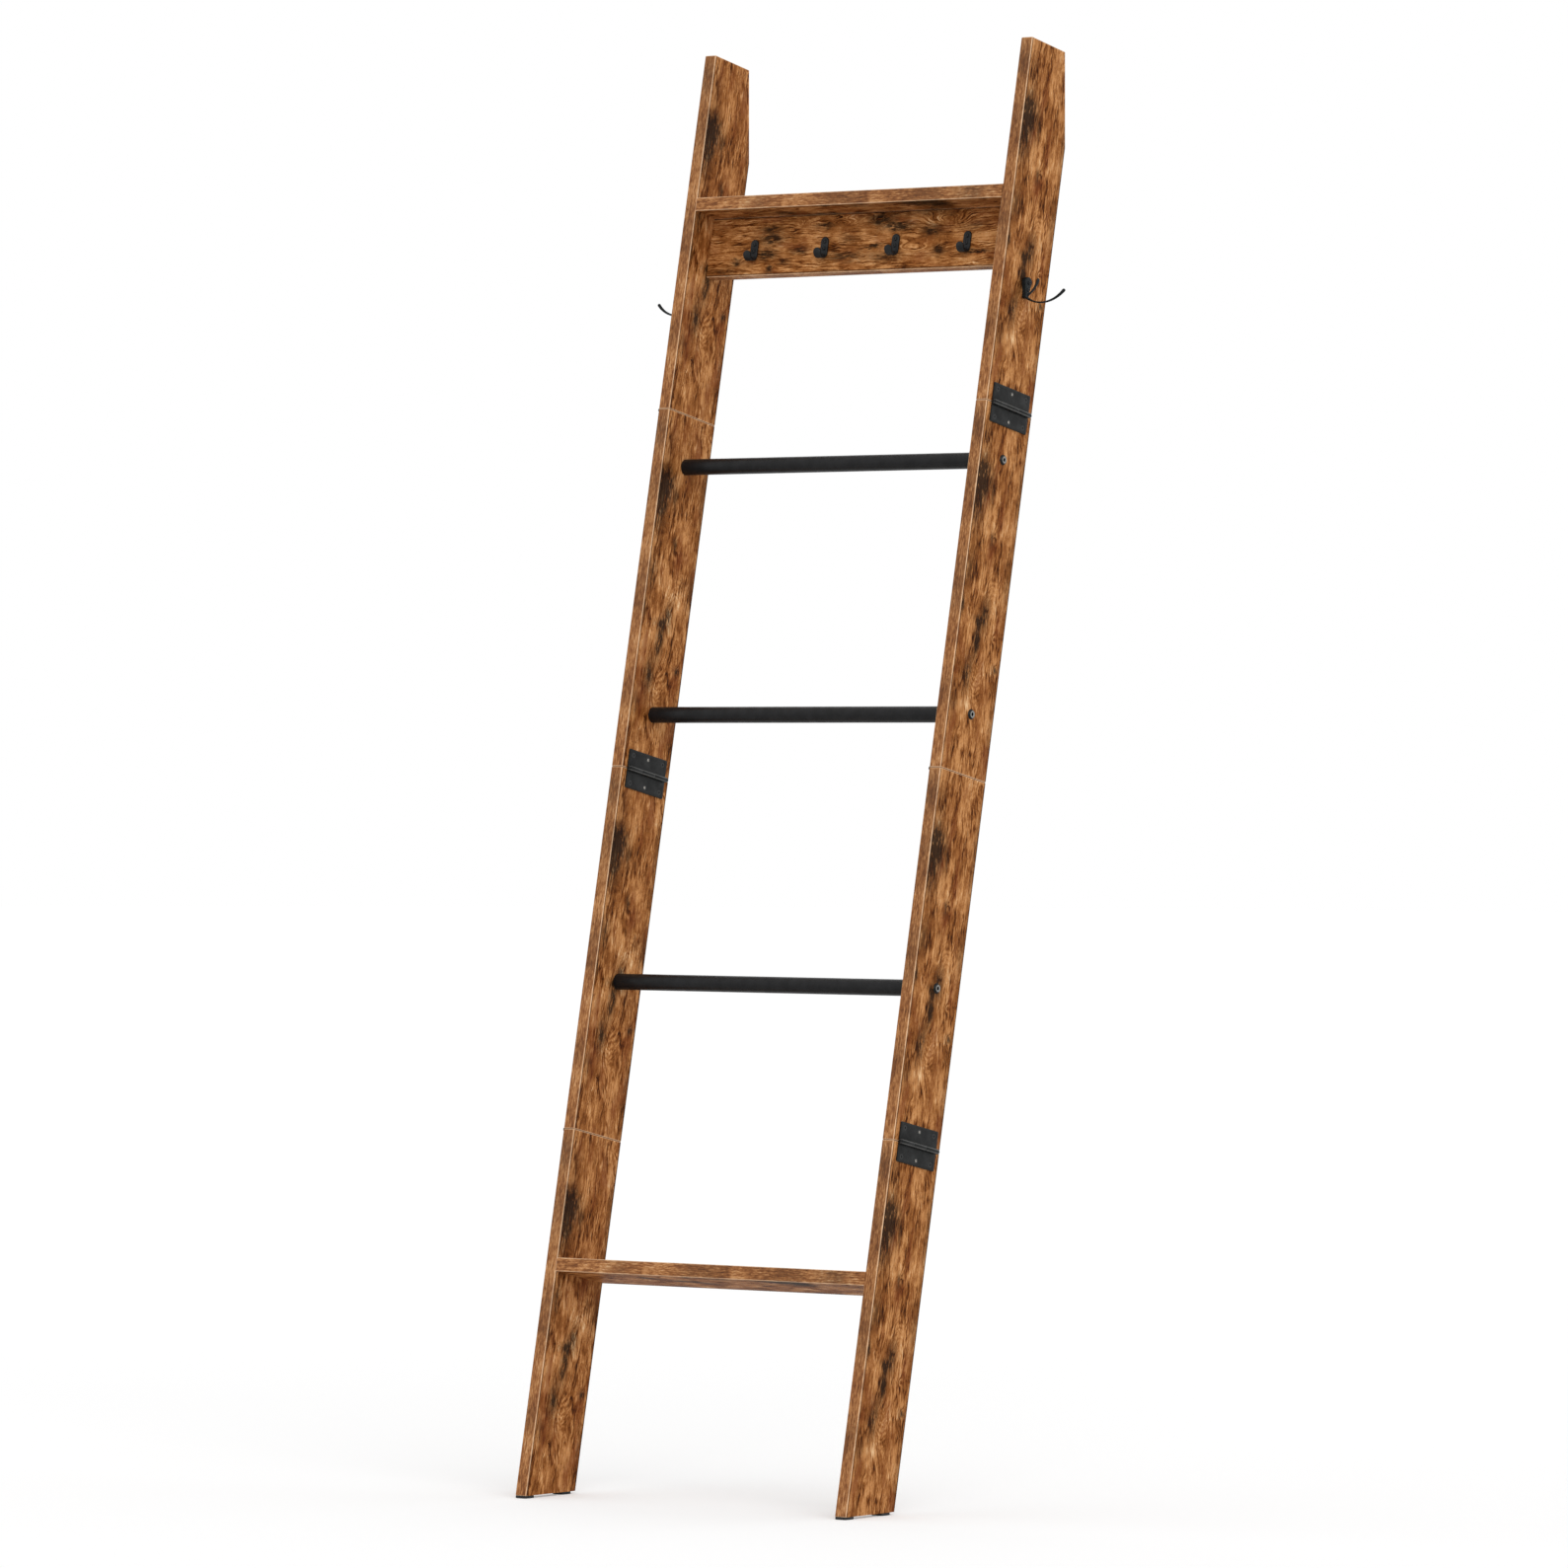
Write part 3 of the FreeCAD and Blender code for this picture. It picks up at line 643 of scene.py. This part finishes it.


# The hinge knuckles carry two grey painted highlight lines, where their round sides slant up or down the
# leg.
hinge_finish = black_coat(
    "hinge_black", colour(16, 17, 17), colour(25, 26, 26),
    smooth=0.4, rough=0.52, grain=0.0007, highlight_towards=leg_up,
)
for hand in ("left", "right"):
    for level in ("lower", "middle", "upper"):
        hinge = f"{hand}_{level}_hinge"
        pin_x = sum(reach(f"{hinge}_pin", across_rack)) / 2
        pin_up = sum(reach(f"{hinge}_pin", leg_up)) / 2
        leaf_middle = sum(reach(f"{hinge}_leaf_below", leg_back)) / 2
        face_low, face_high = reach(f"{hinge}_leaf_below", across_rack)
        outward = 1 if abs(pin_x - face_low) > abs(pin_x - face_high) else -1
        face_x = face_low if outward > 0 else face_high
        centre = leg_back * leaf_middle + leg_up * pin_up
        for end, up in (("above", 1), ("below", -1)):
            leaf_shape = bmesh.new()
            add_leaf(leaf_shape, hinge_spans[end], abs(pin_x - face_x))
            set_on(leaf_shape, centre + across_rack * face_x, leg_back, leg_up * up, across_rack * outward)
            node = f"{hinge}_leaf_{end}"
            stand_for(f"{node}_stamped", mesh_of(node, leaf_shape), node, hinge_finish)
        node = f"{hinge}_pin"
        pin_low, pin_high = reach(node, leg_back)
        pin_shape = bmesh.new()
        add_pin(pin_shape, pin_low - leaf_middle, pin_high - leaf_middle)
        set_on(pin_shape, centre + across_rack * pin_x, leg_up, across_rack, leg_back)
        stand_for(f"{node}_turned", mesh_of(node, pin_shape), node, hinge_finish)

screw_finish, screw_shader, screw_place, _ = new_finish("hinge_screw_black")
from_middle = screw_place.along(leg_back) - (leg_front + leg_rear) / 2
joint_up = reach("left_leg_bottom", leg_up)[1]
above_joint = screw_place.along(leg_up) - joint_up + section_length / 2
past_joint = above_joint.math("FLOORED_MODULO", section_length)
from_row = abs(past_joint - section_length / 2) - screw_row
bared = 1 - (from_middle ** 2 + from_row ** 2).math("SQRT").step(*bared_spot)
screw_haze = screw_place.grit(screw_haze_size).step(-0.2, 0.2)
screw_coat = screw_haze.tint(colour(16, 17, 17), colour(26, 26, 26))
bared.tint(screw_coat, bared_steel).into(screw_shader, "Base Color")
(bared * 0.9).into(screw_shader, "Metallic")
(0.5 - bared * 0.2 + screw_haze * 0.08).into(screw_shader, "Roughness")
wear(screw_finish, *[node for node in frame["nodes"] if node.startswith("hinge_screws_")])

# Shelves and hook panel: the same printed board laid across the rack, with the grain running from
# leg to leg. Cam fittings inside their ends draw them against the legs.

panel_figure = ((80, 4.2, 9), (26, 2.0, 5))
panel_knots = (
    (150, 59, 20, 4.5, 10), (190, 59, 30, 6, 13), (349, 58, 26, 9, 20), (248, 61, 12, 5, 9),
    (92, 6, 5, 3, 6), (43, 17, 8, 4, 7), (303, 25, 34, 8, 14),
)
panel_smudges = (
    (88, 56, 16, 5, 0.9), (92, 44, 19, 7, 1.2), (87, 25, 16, 7, 1.2), (248, 62, 20, 7, 1.0),
    (277, 53, 22, 6, 1.2), (326, 46, 16, 7, 1.1), (339, 22, 9, 7, 1.1), (202, 19, 28, 7, 0.9),
    (43, 17, 9, 4.5, 1.1), (92, 6, 5, 4, 1.4), (114, 14, 8, 3.5, 1.0), (241, 30, 12, 2.2, 1.4),
    (395, 19, 16, 2.2, 1.4), (168, 58, 14, 4, 0.9), (260, 17, 22, 7, 0.8), (205, 40, 14, 6, 0.6),
    (134, 29, 14, 6, 0.9), (389, 50, 20, 6, 0.6), (23, 6, 22, 4, 0.7), (303, 68, 70, 4, 0.6),
)
panel_arches = ((362, 58, 22, 11, 0.05, 0.7), (276, 12, 20, 9, -0.05, 0.5))
panel_print = (panel_figure, panel_knots, panel_smudges, panel_arches)

for shelf in ("lower_shelf", "top_shelf"):
    shelf_finish = printed_board(
        f"{shelf}_foil",
        (across_rack, leg_back, leg_up),
        leg_rear - leg_front,
        (reach(shelf, across_rack)[0], leg_front, reach(shelf, leg_up)[0]),
        leg_print,
    )
    wear(shelf_finish, shelf)

panel_foot, panel_head = reach("hook_panel", leg_up)
panel_front = reach("hook_panel", leg_back)[0]
panel_finish = printed_board(
    "hook_panel_foil",
    (across_rack, leg_up, leg_back),
    panel_head - panel_foot,
    (reach("hook_panel", across_rack)[0], panel_foot, panel_front),
    panel_print,
)
wear(panel_finish, "hook_panel")

# Cam fittings: die-cast cams and their steel bolts, zinc plated, with the grey bloom of plating.
# A cam sits in a blind hole near each end of a board and pulls on the bolt in the leg.

zinc_bloom_size = 0.004
zinc_grit_size = 0.0006
zinc_grit_depth = 0.00008

zinc_finish, zinc_shader, zinc_place, _ = new_finish("zinc_plate")
zinc_bloom = zinc_place.grit(zinc_bloom_size, 4.0, 0.6).step(-0.25, 0.25)
zinc_grit = zinc_place.grit(zinc_grit_size)
zinc_bloom.tint(colour(150, 149, 144), colour(206, 205, 198)).into(zinc_shader, "Base Color")
zinc_shader.inputs["Metallic"].default_value = 1.0
(0.42 - zinc_bloom * 0.14 + zinc_grit * 0.2).into(zinc_shader, "Roughness")
emboss(zinc_grit, zinc_shader, zinc_grit_depth, strength=0.4)
wear(zinc_finish, "cams", "cam_bolts_fixed", "cam_bolts_right_top")

# Rungs: drawn steel tube with a satin black powder coat, plugged at the ends with moulded plastic
# that takes the bolts.

plug_flow_size = (0.002, 0.01, 0.01)
plug_grain_size = 0.0005
plug_grain_depth = 0.0001

tube_finish = black_coat(
    "rung_powder_coat", colour(17, 17, 18), colour(26, 26, 27), smooth=0.34, rough=0.42, grain=0.0011,
)
wear(tube_finish, "bottom_rung", "middle_rung", "top_rung")

plug_finish, plug_shader, plug_place, _ = new_finish("plug_plastic")
plug_grain = plug_place.grit(plug_grain_size)
plug_flow = plug_place.cloud(plug_flow_size).step(-0.2, 0.2)
plug_flow.tint(colour(22, 22, 23), colour(38, 38, 39)).into(plug_shader, "Base Color")
(0.5 + plug_grain * 0.3).into(plug_shader, "Roughness")
emboss(plug_grain, plug_shader, plug_grain_depth, strength=0.4)
wear(plug_finish, "rung_plugs")

# Rung bolts: furniture bolts with a low coned head, blacked all over, whose flat crown carries a grey
# painted highlight. The rolled thread bites into the plug.

head_radius = 0.0060
head_rim = 0.0006
crown_radius = 0.0041
head_height = 0.0025
socket_flat = 0.0020
socket_depth = 0.0018
socket_lead = 0.0003
thread_radius = 0.0030
thread_cut = 0.00045
thread_pitch = 0.0010
thread_start = 0.010
thread_steps_per_pitch = 4
bolt_steps = round_steps * 3
crown_highlight_size = (0.0012, 0.0004, 0.0012)

bolt_finish = black_coat(
    "bolt_black", colour(14, 14, 15), colour(24, 24, 25), smooth=0.38, rough=0.48, grain=0.0006,
)
# The flat crown wears a painted highlight: mottled grey, half metallic.
crown_highlight_finish, crown_highlight_shader, crown_highlight_place, _ = new_finish("bolt_crown_painted_highlight")
crown_highlight = crown_highlight_place.cloud(crown_highlight_size, 3.0).step(-0.25, 0.25)
crown_highlight.tint(colour(96, 95, 92), colour(160, 158, 152)).into(crown_highlight_shader, "Base Color")
(0.3 + crown_highlight * 0.15).into(crown_highlight_shader, "Roughness")
(crown_highlight * 0.5).into(crown_highlight_shader, "Metallic")


def hexagon(flat, height):
    """A ring of points on a level hexagon, given the distance from its middle to a flat."""
    points = []
    for step in range(bolt_steps):
        turn = 2 * math.pi * step / bolt_steps
        to_flat = (turn + math.pi / 6) % (math.pi / 3) - math.pi / 6
        radius = flat / math.cos(to_flat)
        points.append((radius * math.cos(turn), radius * math.sin(turn), height))
    return points


def thread_ring(depth):
    """A ring round the thread at a depth, cut in where the groove passes."""
    points = []
    for step in range(bolt_steps):
        phase = (depth / thread_pitch + step / bolt_steps) % 1
        radius = thread_radius - thread_cut * (1 - abs(2 * phase - 1))
        turn = 2 * math.pi * step / bolt_steps
        points.append((radius * math.cos(turn), radius * math.sin(turn), -depth))
    return points


def add_bolt(shape, length):
    """A bolt along z: its head stands above z = 0, and its shank and thread reach down from there."""
    rings = [hexagon(socket_flat, head_height - drop) for drop in (socket_depth, socket_lead)]
    rings.append(hexagon(socket_flat + socket_lead, head_height))
    outside = (
        (crown_radius, head_height), (crown_radius + head_rim / 2, head_height - head_rim / 3),
        (head_radius - head_rim / 2, head_rim * 1.4), (head_radius, head_rim * 0.7), (head_radius, 0),
        (thread_radius, 0), (thread_radius, -thread_start),
    )
    for radius, height in outside:
        rings.append([(x, y, height) for x, y in circle(0, 0, radius, bolt_steps)])
    thread_step = thread_pitch / thread_steps_per_pitch
    thread_rings = int((length - thread_start) / thread_pitch * thread_steps_per_pitch)
    for ring in range(1, thread_rings + 1):
        rings.append(thread_ring(thread_start + ring * thread_step))
    add_loft(shape, rings)
    # Faces of the flat crown take the second material, its painted highlight.
    for face in shape.faces:
        middle = face.calc_center_median()
        if abs(middle.z - head_height) < socket_lead and middle.xy.length < crown_radius:
            face.material_index = 1


leg_face = max(abs(edge) for edge in reach("left_leg_lower", across_rack))
bolt_groups = {
    "rung_bolts_left": (-1, ("bottom", "middle", "top")),
    "rung_bolt_right_lower": (1, ("bottom",)),
    "rung_bolts_right_upper": (1, ("middle", "top")),
}
for node, (side, rungs) in bolt_groups.items():
    bolt_end = min(abs(edge) for edge in reach(node, across_rack))
    group = bmesh.new()
    for rung in rungs:
        rung_back = sum(reach(f"{rung}_rung", leg_back)) / 2
        rung_up = sum(reach(f"{rung}_rung", leg_up)) / 2
        origin = across_rack * side * leg_face + leg_back * rung_back + leg_up * rung_up
        bolt = bmesh.new()
        add_bolt(bolt, leg_face - bolt_end)
        set_on(bolt, origin, leg_back, leg_up * side, across_rack * side)
        add_shape(group, bolt)
    bolt_mesh = mesh_of(node, group, crease=30)
    piece = stand_for(f"{node}_threaded", bolt_mesh, node, bolt_finish)
    piece.data.materials.append(crown_highlight_finish)

# Panel hooks: flat steel bar, rounded at both ends, bent into a J and coated black. Two small
# round-head screws hold each one to the panel.

bar_width = 0.0105
bar_thickness = 0.0030
bar_corner = 0.0011
bend_radius = 0.0065
plate_rise = 0.0190
lip_rise = 0.0030
end_round = 0.0052
end_start = 0.0001
edge_round = 0.0008
least_width_share = 0.05
least_thickness_share = 0.3
corner_share = 0.95
plate_steps = 14
bend_steps = 18
lip_steps = 6
panel_hooks = 4


def hook_line():
    """Points down the plate, round the bend and up the lip: distance from the panel, and height."""
    points = []
    for step in range(plate_steps):
        points.append((0.0, plate_rise * math.cos(math.pi / 2 * step / plate_steps)))
    for step in range(bend_steps + 1):
        turn = math.pi * step / bend_steps
        points.append((bend_radius * (1 - math.cos(turn)), -bend_radius * math.sin(turn)))
    for step in range(1, lip_steps + 1):
        points.append((2 * bend_radius, lip_rise * math.sin(math.pi / 2 * step / lip_steps)))
    return [Vector(place) for place in points]


def round_off(distance, radius):
    """Share of the full size at a distance from a round end."""
    if distance >= radius:
        return 1.0
    return math.sqrt(max(0.0, 1 - (1 - distance / radius) ** 2))


def add_hook(shape):
    """A hook on a panel whose face is y = 0, with the bend's middle at z = 0."""
    line = hook_line()
    lengths = [0.0]
    for before, after in zip(line, line[1:]):
        lengths.append(lengths[-1] + (after - before).length)
    rings = []
    for index, place in enumerate(line):
        ahead = line[min(index + 1, len(line) - 1)] - line[max(index - 1, 0)]
        normal = Vector((ahead.y, -ahead.x)).normalized()
        from_end = min(lengths[index], lengths[-1] - lengths[index]) + end_start
        half_wide = bar_width / 2 * max(least_width_share, round_off(from_end, end_round))
        half_thick = bar_thickness / 2 * max(least_thickness_share, round_off(from_end, edge_round))
        corner = min(bar_corner, half_wide * corner_share, half_thick * corner_share)
        ring = []
        for x, t in rounded_outline(half_wide, half_thick, corner):
            ring.append((x, -(place.x + bar_thickness / 2) - normal.x * t, place.y + normal.y * t))
        rings.append(ring)
    add_loft(shape, rings)


hook_finish = black_coat(
    "hook_black", colour(19, 20, 21), colour(34, 35, 36), smooth=0.38, rough=0.5, grain=0.0008,
)
for number in range(1, panel_hooks + 1):
    node = f"panel_hook_{number}"
    hook_x = sum(reach(node, across_rack)) / 2
    bend_up = reach(node, leg_up)[1] - plate_rise
    origin = across_rack * hook_x + leg_back * panel_front + leg_up * bend_up
    hook_shape = bmesh.new()
    add_hook(hook_shape)
    set_on(hook_shape, origin, across_rack, leg_back, leg_up)
    stand_for(f"{node}_bent", mesh_of(node, hook_shape, crease=60), node, hook_finish)

hook_screw_finish = black_coat(
    "hook_screw_black", colour(26, 26, 27), colour(46, 46, 46), smooth=0.32, rough=0.42, grain=0.0005,
)
wear(hook_screw_finish, "panel_hook_screws")

# Side hooks: small castings with a teardrop plate, a short prong that curves up and a long one that
# sweeps out, both swelling to a blunt tip. Black coat over the cast skin, and two screws in each.

plate_top_radius = 0.0070
plate_foot_radius = 0.0024
plate_spacing = 0.0160
plate_thickness = 0.0060
plate_bevel = 0.0010
plate_rim_shares = ((1.5, 0.0), (0.5, 0.4), (0.0, 1.3))
plate_screw_radius = 0.0023
arc_steps = 16
prong_steps = 40
prong_sides = 20
cast_grain = 0.00034
cast_softening = 4

long_dip = Vector((0.02825, 0, -0.0235))
long_tip = Vector((0.0565, 0, -0.0100))
short_bow = Vector((0.0126, 0, -0.0086))
short_tip = Vector((0.0180, 0, 0.0035))
long_radii = (0.0021, 0.0010, 0.0020)
short_radii = (0.0022, 0.0013, 0.0019)
root_share = 0.3
swell_share = 0.35
swell_power = 1.5
tip_steps = 3
tip_reach_share = 10 / 11
prong_side = Vector((0, 1, 0))


def teardrop(inset):
    """Outline of the plate, its wide round top at the origin and its narrow foot below."""
    slant = math.asin((plate_top_radius - plate_foot_radius) / plate_spacing)
    points = []
    for step in range(arc_steps + 1):
        turn = slant + (math.pi - 2 * slant) * step / arc_steps
        radius = plate_top_radius - inset
        points.append((radius * math.cos(turn), radius * math.sin(turn)))
    for step in range(arc_steps + 1):
        turn = math.pi - slant + (math.pi + 2 * slant) * step / arc_steps
        radius = plate_foot_radius - inset
        points.append((radius * math.cos(turn), radius * math.sin(turn) - plate_spacing))
    return points


def arc_through(start, middle, end, steps):
    """Points along the arc through three points of one plane."""
    one = middle - start
    two = end - start
    normal = one.cross(two)
    to_centre = normal.cross(one) * two.length_squared + two.cross(normal) * one.length_squared
    centre = start + to_centre / (2 * normal.length_squared)
    spoke = start - centre
    sweep = spoke.angle(middle - centre) + (middle - centre).angle(end - centre)
    turns = [Matrix.Rotation(sweep * step / steps, 3, normal) for step in range(steps + 1)]
    return [centre + turn @ spoke for turn in turns]


def prong_ring(place, ahead, radius):
    """A ring of points round a place on a prong, square to the way ahead."""
    lift = ahead.cross(prong_side)
    sides = circle(0, 0, radius, prong_sides)
    return [place + prong_side * wide + lift * high for wide, high in sides]


def add_prong(shape, middle, tip, radii):
    """A round prong that thins in the middle and swells to a blunt tip."""
    root = Vector((plate_thickness / 2, 0, -plate_spacing))
    line = arc_through(root, middle, tip, prong_steps)
    root_radius, waist, tip_radius = radii
    rings = []
    for index, place in enumerate(line):
        share = index / prong_steps
        ahead = (line[min(index + 1, prong_steps)] - line[max(index - 1, 0)]).normalized()
        radius = waist + (root_radius - waist) * max(0, 1 - share / root_share) ** 2
        swollen = max(0, (share - swell_share) / (1 - swell_share)) ** swell_power
        rings.append(prong_ring(place, ahead, radius + (tip_radius - waist) * swollen))
    ahead = (line[-1] - line[-2]).normalized()
    for step in range(1, tip_steps + 1):
        turn = math.pi / 2 * tip_reach_share * step / tip_steps
        place = line[-1] + ahead * tip_radius * math.sin(turn)
        rings.append(prong_ring(place, ahead, tip_radius * math.cos(turn)))
    add_loft(shape, rings)


def cast(shape, voxel):
    """One skin round pieces that run into each other, with the soft corners of a casting."""
    mesh = bpy.data.meshes.new("pattern")
    bmesh.ops.recalc_face_normals(shape, faces=shape.faces)
    shape.to_mesh(mesh)
    shape.free()
    pattern = bpy.data.objects.new("pattern", mesh)
    bpy.context.scene.collection.objects.link(pattern)
    skin = pattern.modifiers.new("skin", "REMESH")
    skin.mode = "VOXEL"
    skin.voxel_size = voxel
    soften = pattern.modifiers.new("soften", "SMOOTH")
    soften.factor = 0.5
    soften.iterations = cast_softening
    graph = bpy.context.evaluated_depsgraph_get()
    made = bpy.data.meshes.new_from_object(pattern.evaluated_get(graph))
    bpy.data.objects.remove(pattern)
    casting = bmesh.new()
    casting.from_mesh(made)
    return casting


cast_finish = black_coat(
    "cast_black", colour(16, 19, 20), colour(32, 37, 38), smooth=0.36, rough=0.48, grain=0.0009,
)
plate_levels = [(0, 0)]
for drop, inset in plate_rim_shares:
    plate_levels.append((plate_thickness - plate_bevel * drop, plate_bevel * inset))
for hand, side in (("left", -1), ("right", 1)):
    node = f"{hand}_side_hook"
    pattern_shape = bmesh.new()
    add_loft(pattern_shape, [
        [(height, y, z) for y, z in teardrop(inset)] for height, inset in plate_levels
    ])
    add_prong(pattern_shape, long_dip, long_tip, long_radii)
    add_prong(pattern_shape, short_bow, short_tip, short_radii)
    hook_shape = cast(pattern_shape, cast_grain)
    hook_back = sum(reach(f"{node}_screws", leg_back)) / 2
    hook_up = reach(f"{node}_screws", leg_up)[1] - plate_screw_radius
    origin = across_rack * side * leg_face + leg_back * hook_back + leg_up * hook_up
    set_on(hook_shape, origin, across_rack * side, leg_back * side, leg_up)
    stand_for(f"{node}_cast", mesh_of(node, hook_shape, crease=60), node, cast_finish)
    wear(hook_screw_finish, f"{node}_screws")

# Floor, light and camera: a pale studio floor, a broad soft light from the right, and a long lens
# set at the viewing angle of the photograph.

floor_half = 30.0
floor_drop = 0.0002
floor_grey = colour(232, 232, 232)
floor_lift = 0.26
white = (1, 1, 1, 1)
black = (0, 0, 0, 1)

floor_mesh = bpy.data.meshes.new("floor")
floor_corners = [(x, y, -floor_drop) for x, y in rounded_outline(floor_half, floor_half, floor_half / 2)]
floor_mesh.from_pydata(floor_corners, [], [list(range(len(floor_corners)))])
floor = bpy.data.objects.new("floor", floor_mesh)
bpy.context.scene.collection.objects.link(floor)

floor_finish = bpy.data.materials.new("pale_floor")
floor_finish.use_nodes = True
floor_nodes = floor_finish.node_tree.nodes
floor_paint = floor_nodes["Principled BSDF"]
floor_paint.inputs["Base Color"].default_value = floor_grey
floor_paint.inputs["Roughness"].default_value = 0.9
floor_paint.inputs["Specular IOR Level"].default_value = 0.0
floor_rays = floor_nodes.new("ShaderNodeLightPath")
seen_directly = Signal(floor_rays.outputs["Is Camera Ray"])
floor_glow = seen_directly.node("ShaderNodeEmission", {}, {"Color": white, "Strength": floor_lift})
dark_glow = seen_directly.node("ShaderNodeEmission", {}, {"Color": black, "Strength": 0.0})
shown_glow = seen_directly.node("ShaderNodeMixShader", {}, {0: seen_directly, 1: dark_glow, 2: floor_glow})
lit_floor = seen_directly.node("ShaderNodeAddShader", {}, {0: Signal(floor_paint.outputs[0]), 1: shown_glow})
lit_floor.into(floor_nodes["Material Output"], "Surface")
floor_mesh.materials.append(floor_finish)

room_light = 0.78
world = bpy.data.worlds.new("studio")
bpy.context.scene.world = world
world.use_nodes = True
world_nodes = world.node_tree.nodes
room = world_nodes["Background"]
room.inputs["Color"].default_value = white
room.inputs["Strength"].default_value = room_light
rays = world_nodes.new("ShaderNodeLightPath")
looking = Signal(rays.outputs["Is Camera Ray"])
looking = looking.math("MAXIMUM", Signal(rays.outputs["Is Glossy Ray"]))
looking = looking.math("MAXIMUM", Signal(rays.outputs["Is Transmission Ray"]))
backdrop = looking.node("ShaderNodeBackground", {}, {"Color": white, "Strength": 1.0})
surround = looking.node("ShaderNodeMixShader", {}, {0: looking, 1: Signal(room.outputs[0]), 2: backdrop})
surround.into(world_nodes["World Output"], "Surface")

key_from = Vector((0.66, -0.60, 0.45))
key_strength = 1.05
key_spread = math.radians(50)
key_lamp = bpy.data.lights.new("key", "SUN")
key_lamp.energy = key_strength
key_lamp.angle = key_spread
key = bpy.data.objects.new("key", key_lamp)
key.rotation_mode = "QUATERNION"
key.rotation_quaternion = (key_from * -1).to_track_quat("-Z", "Y")
bpy.context.scene.collection.objects.link(key)

camera_place = Vector((6.2371, -8.1774, 0.8819))
camera_turn = math.radians(37.376)
camera_dip = math.radians(0.302)
camera_lens = 203.3
camera_data = bpy.data.cameras.new("camera")
camera_data.lens = camera_lens
camera_data.sensor_width = 36.0
camera = bpy.data.objects.new("camera", camera_data)
camera.location = camera_place
camera.rotation_mode = "QUATERNION"
camera_look = Vector((
    -math.sin(camera_turn) * math.cos(camera_dip),
    math.cos(camera_turn) * math.cos(camera_dip),
    -math.sin(camera_dip),
))
camera.rotation_quaternion = camera_look.to_track_quat("-Z", "Y")
bpy.context.scene.collection.objects.link(camera)
bpy.context.scene.camera = camera
bpy.context.scene.view_settings.view_transform = "Standard"
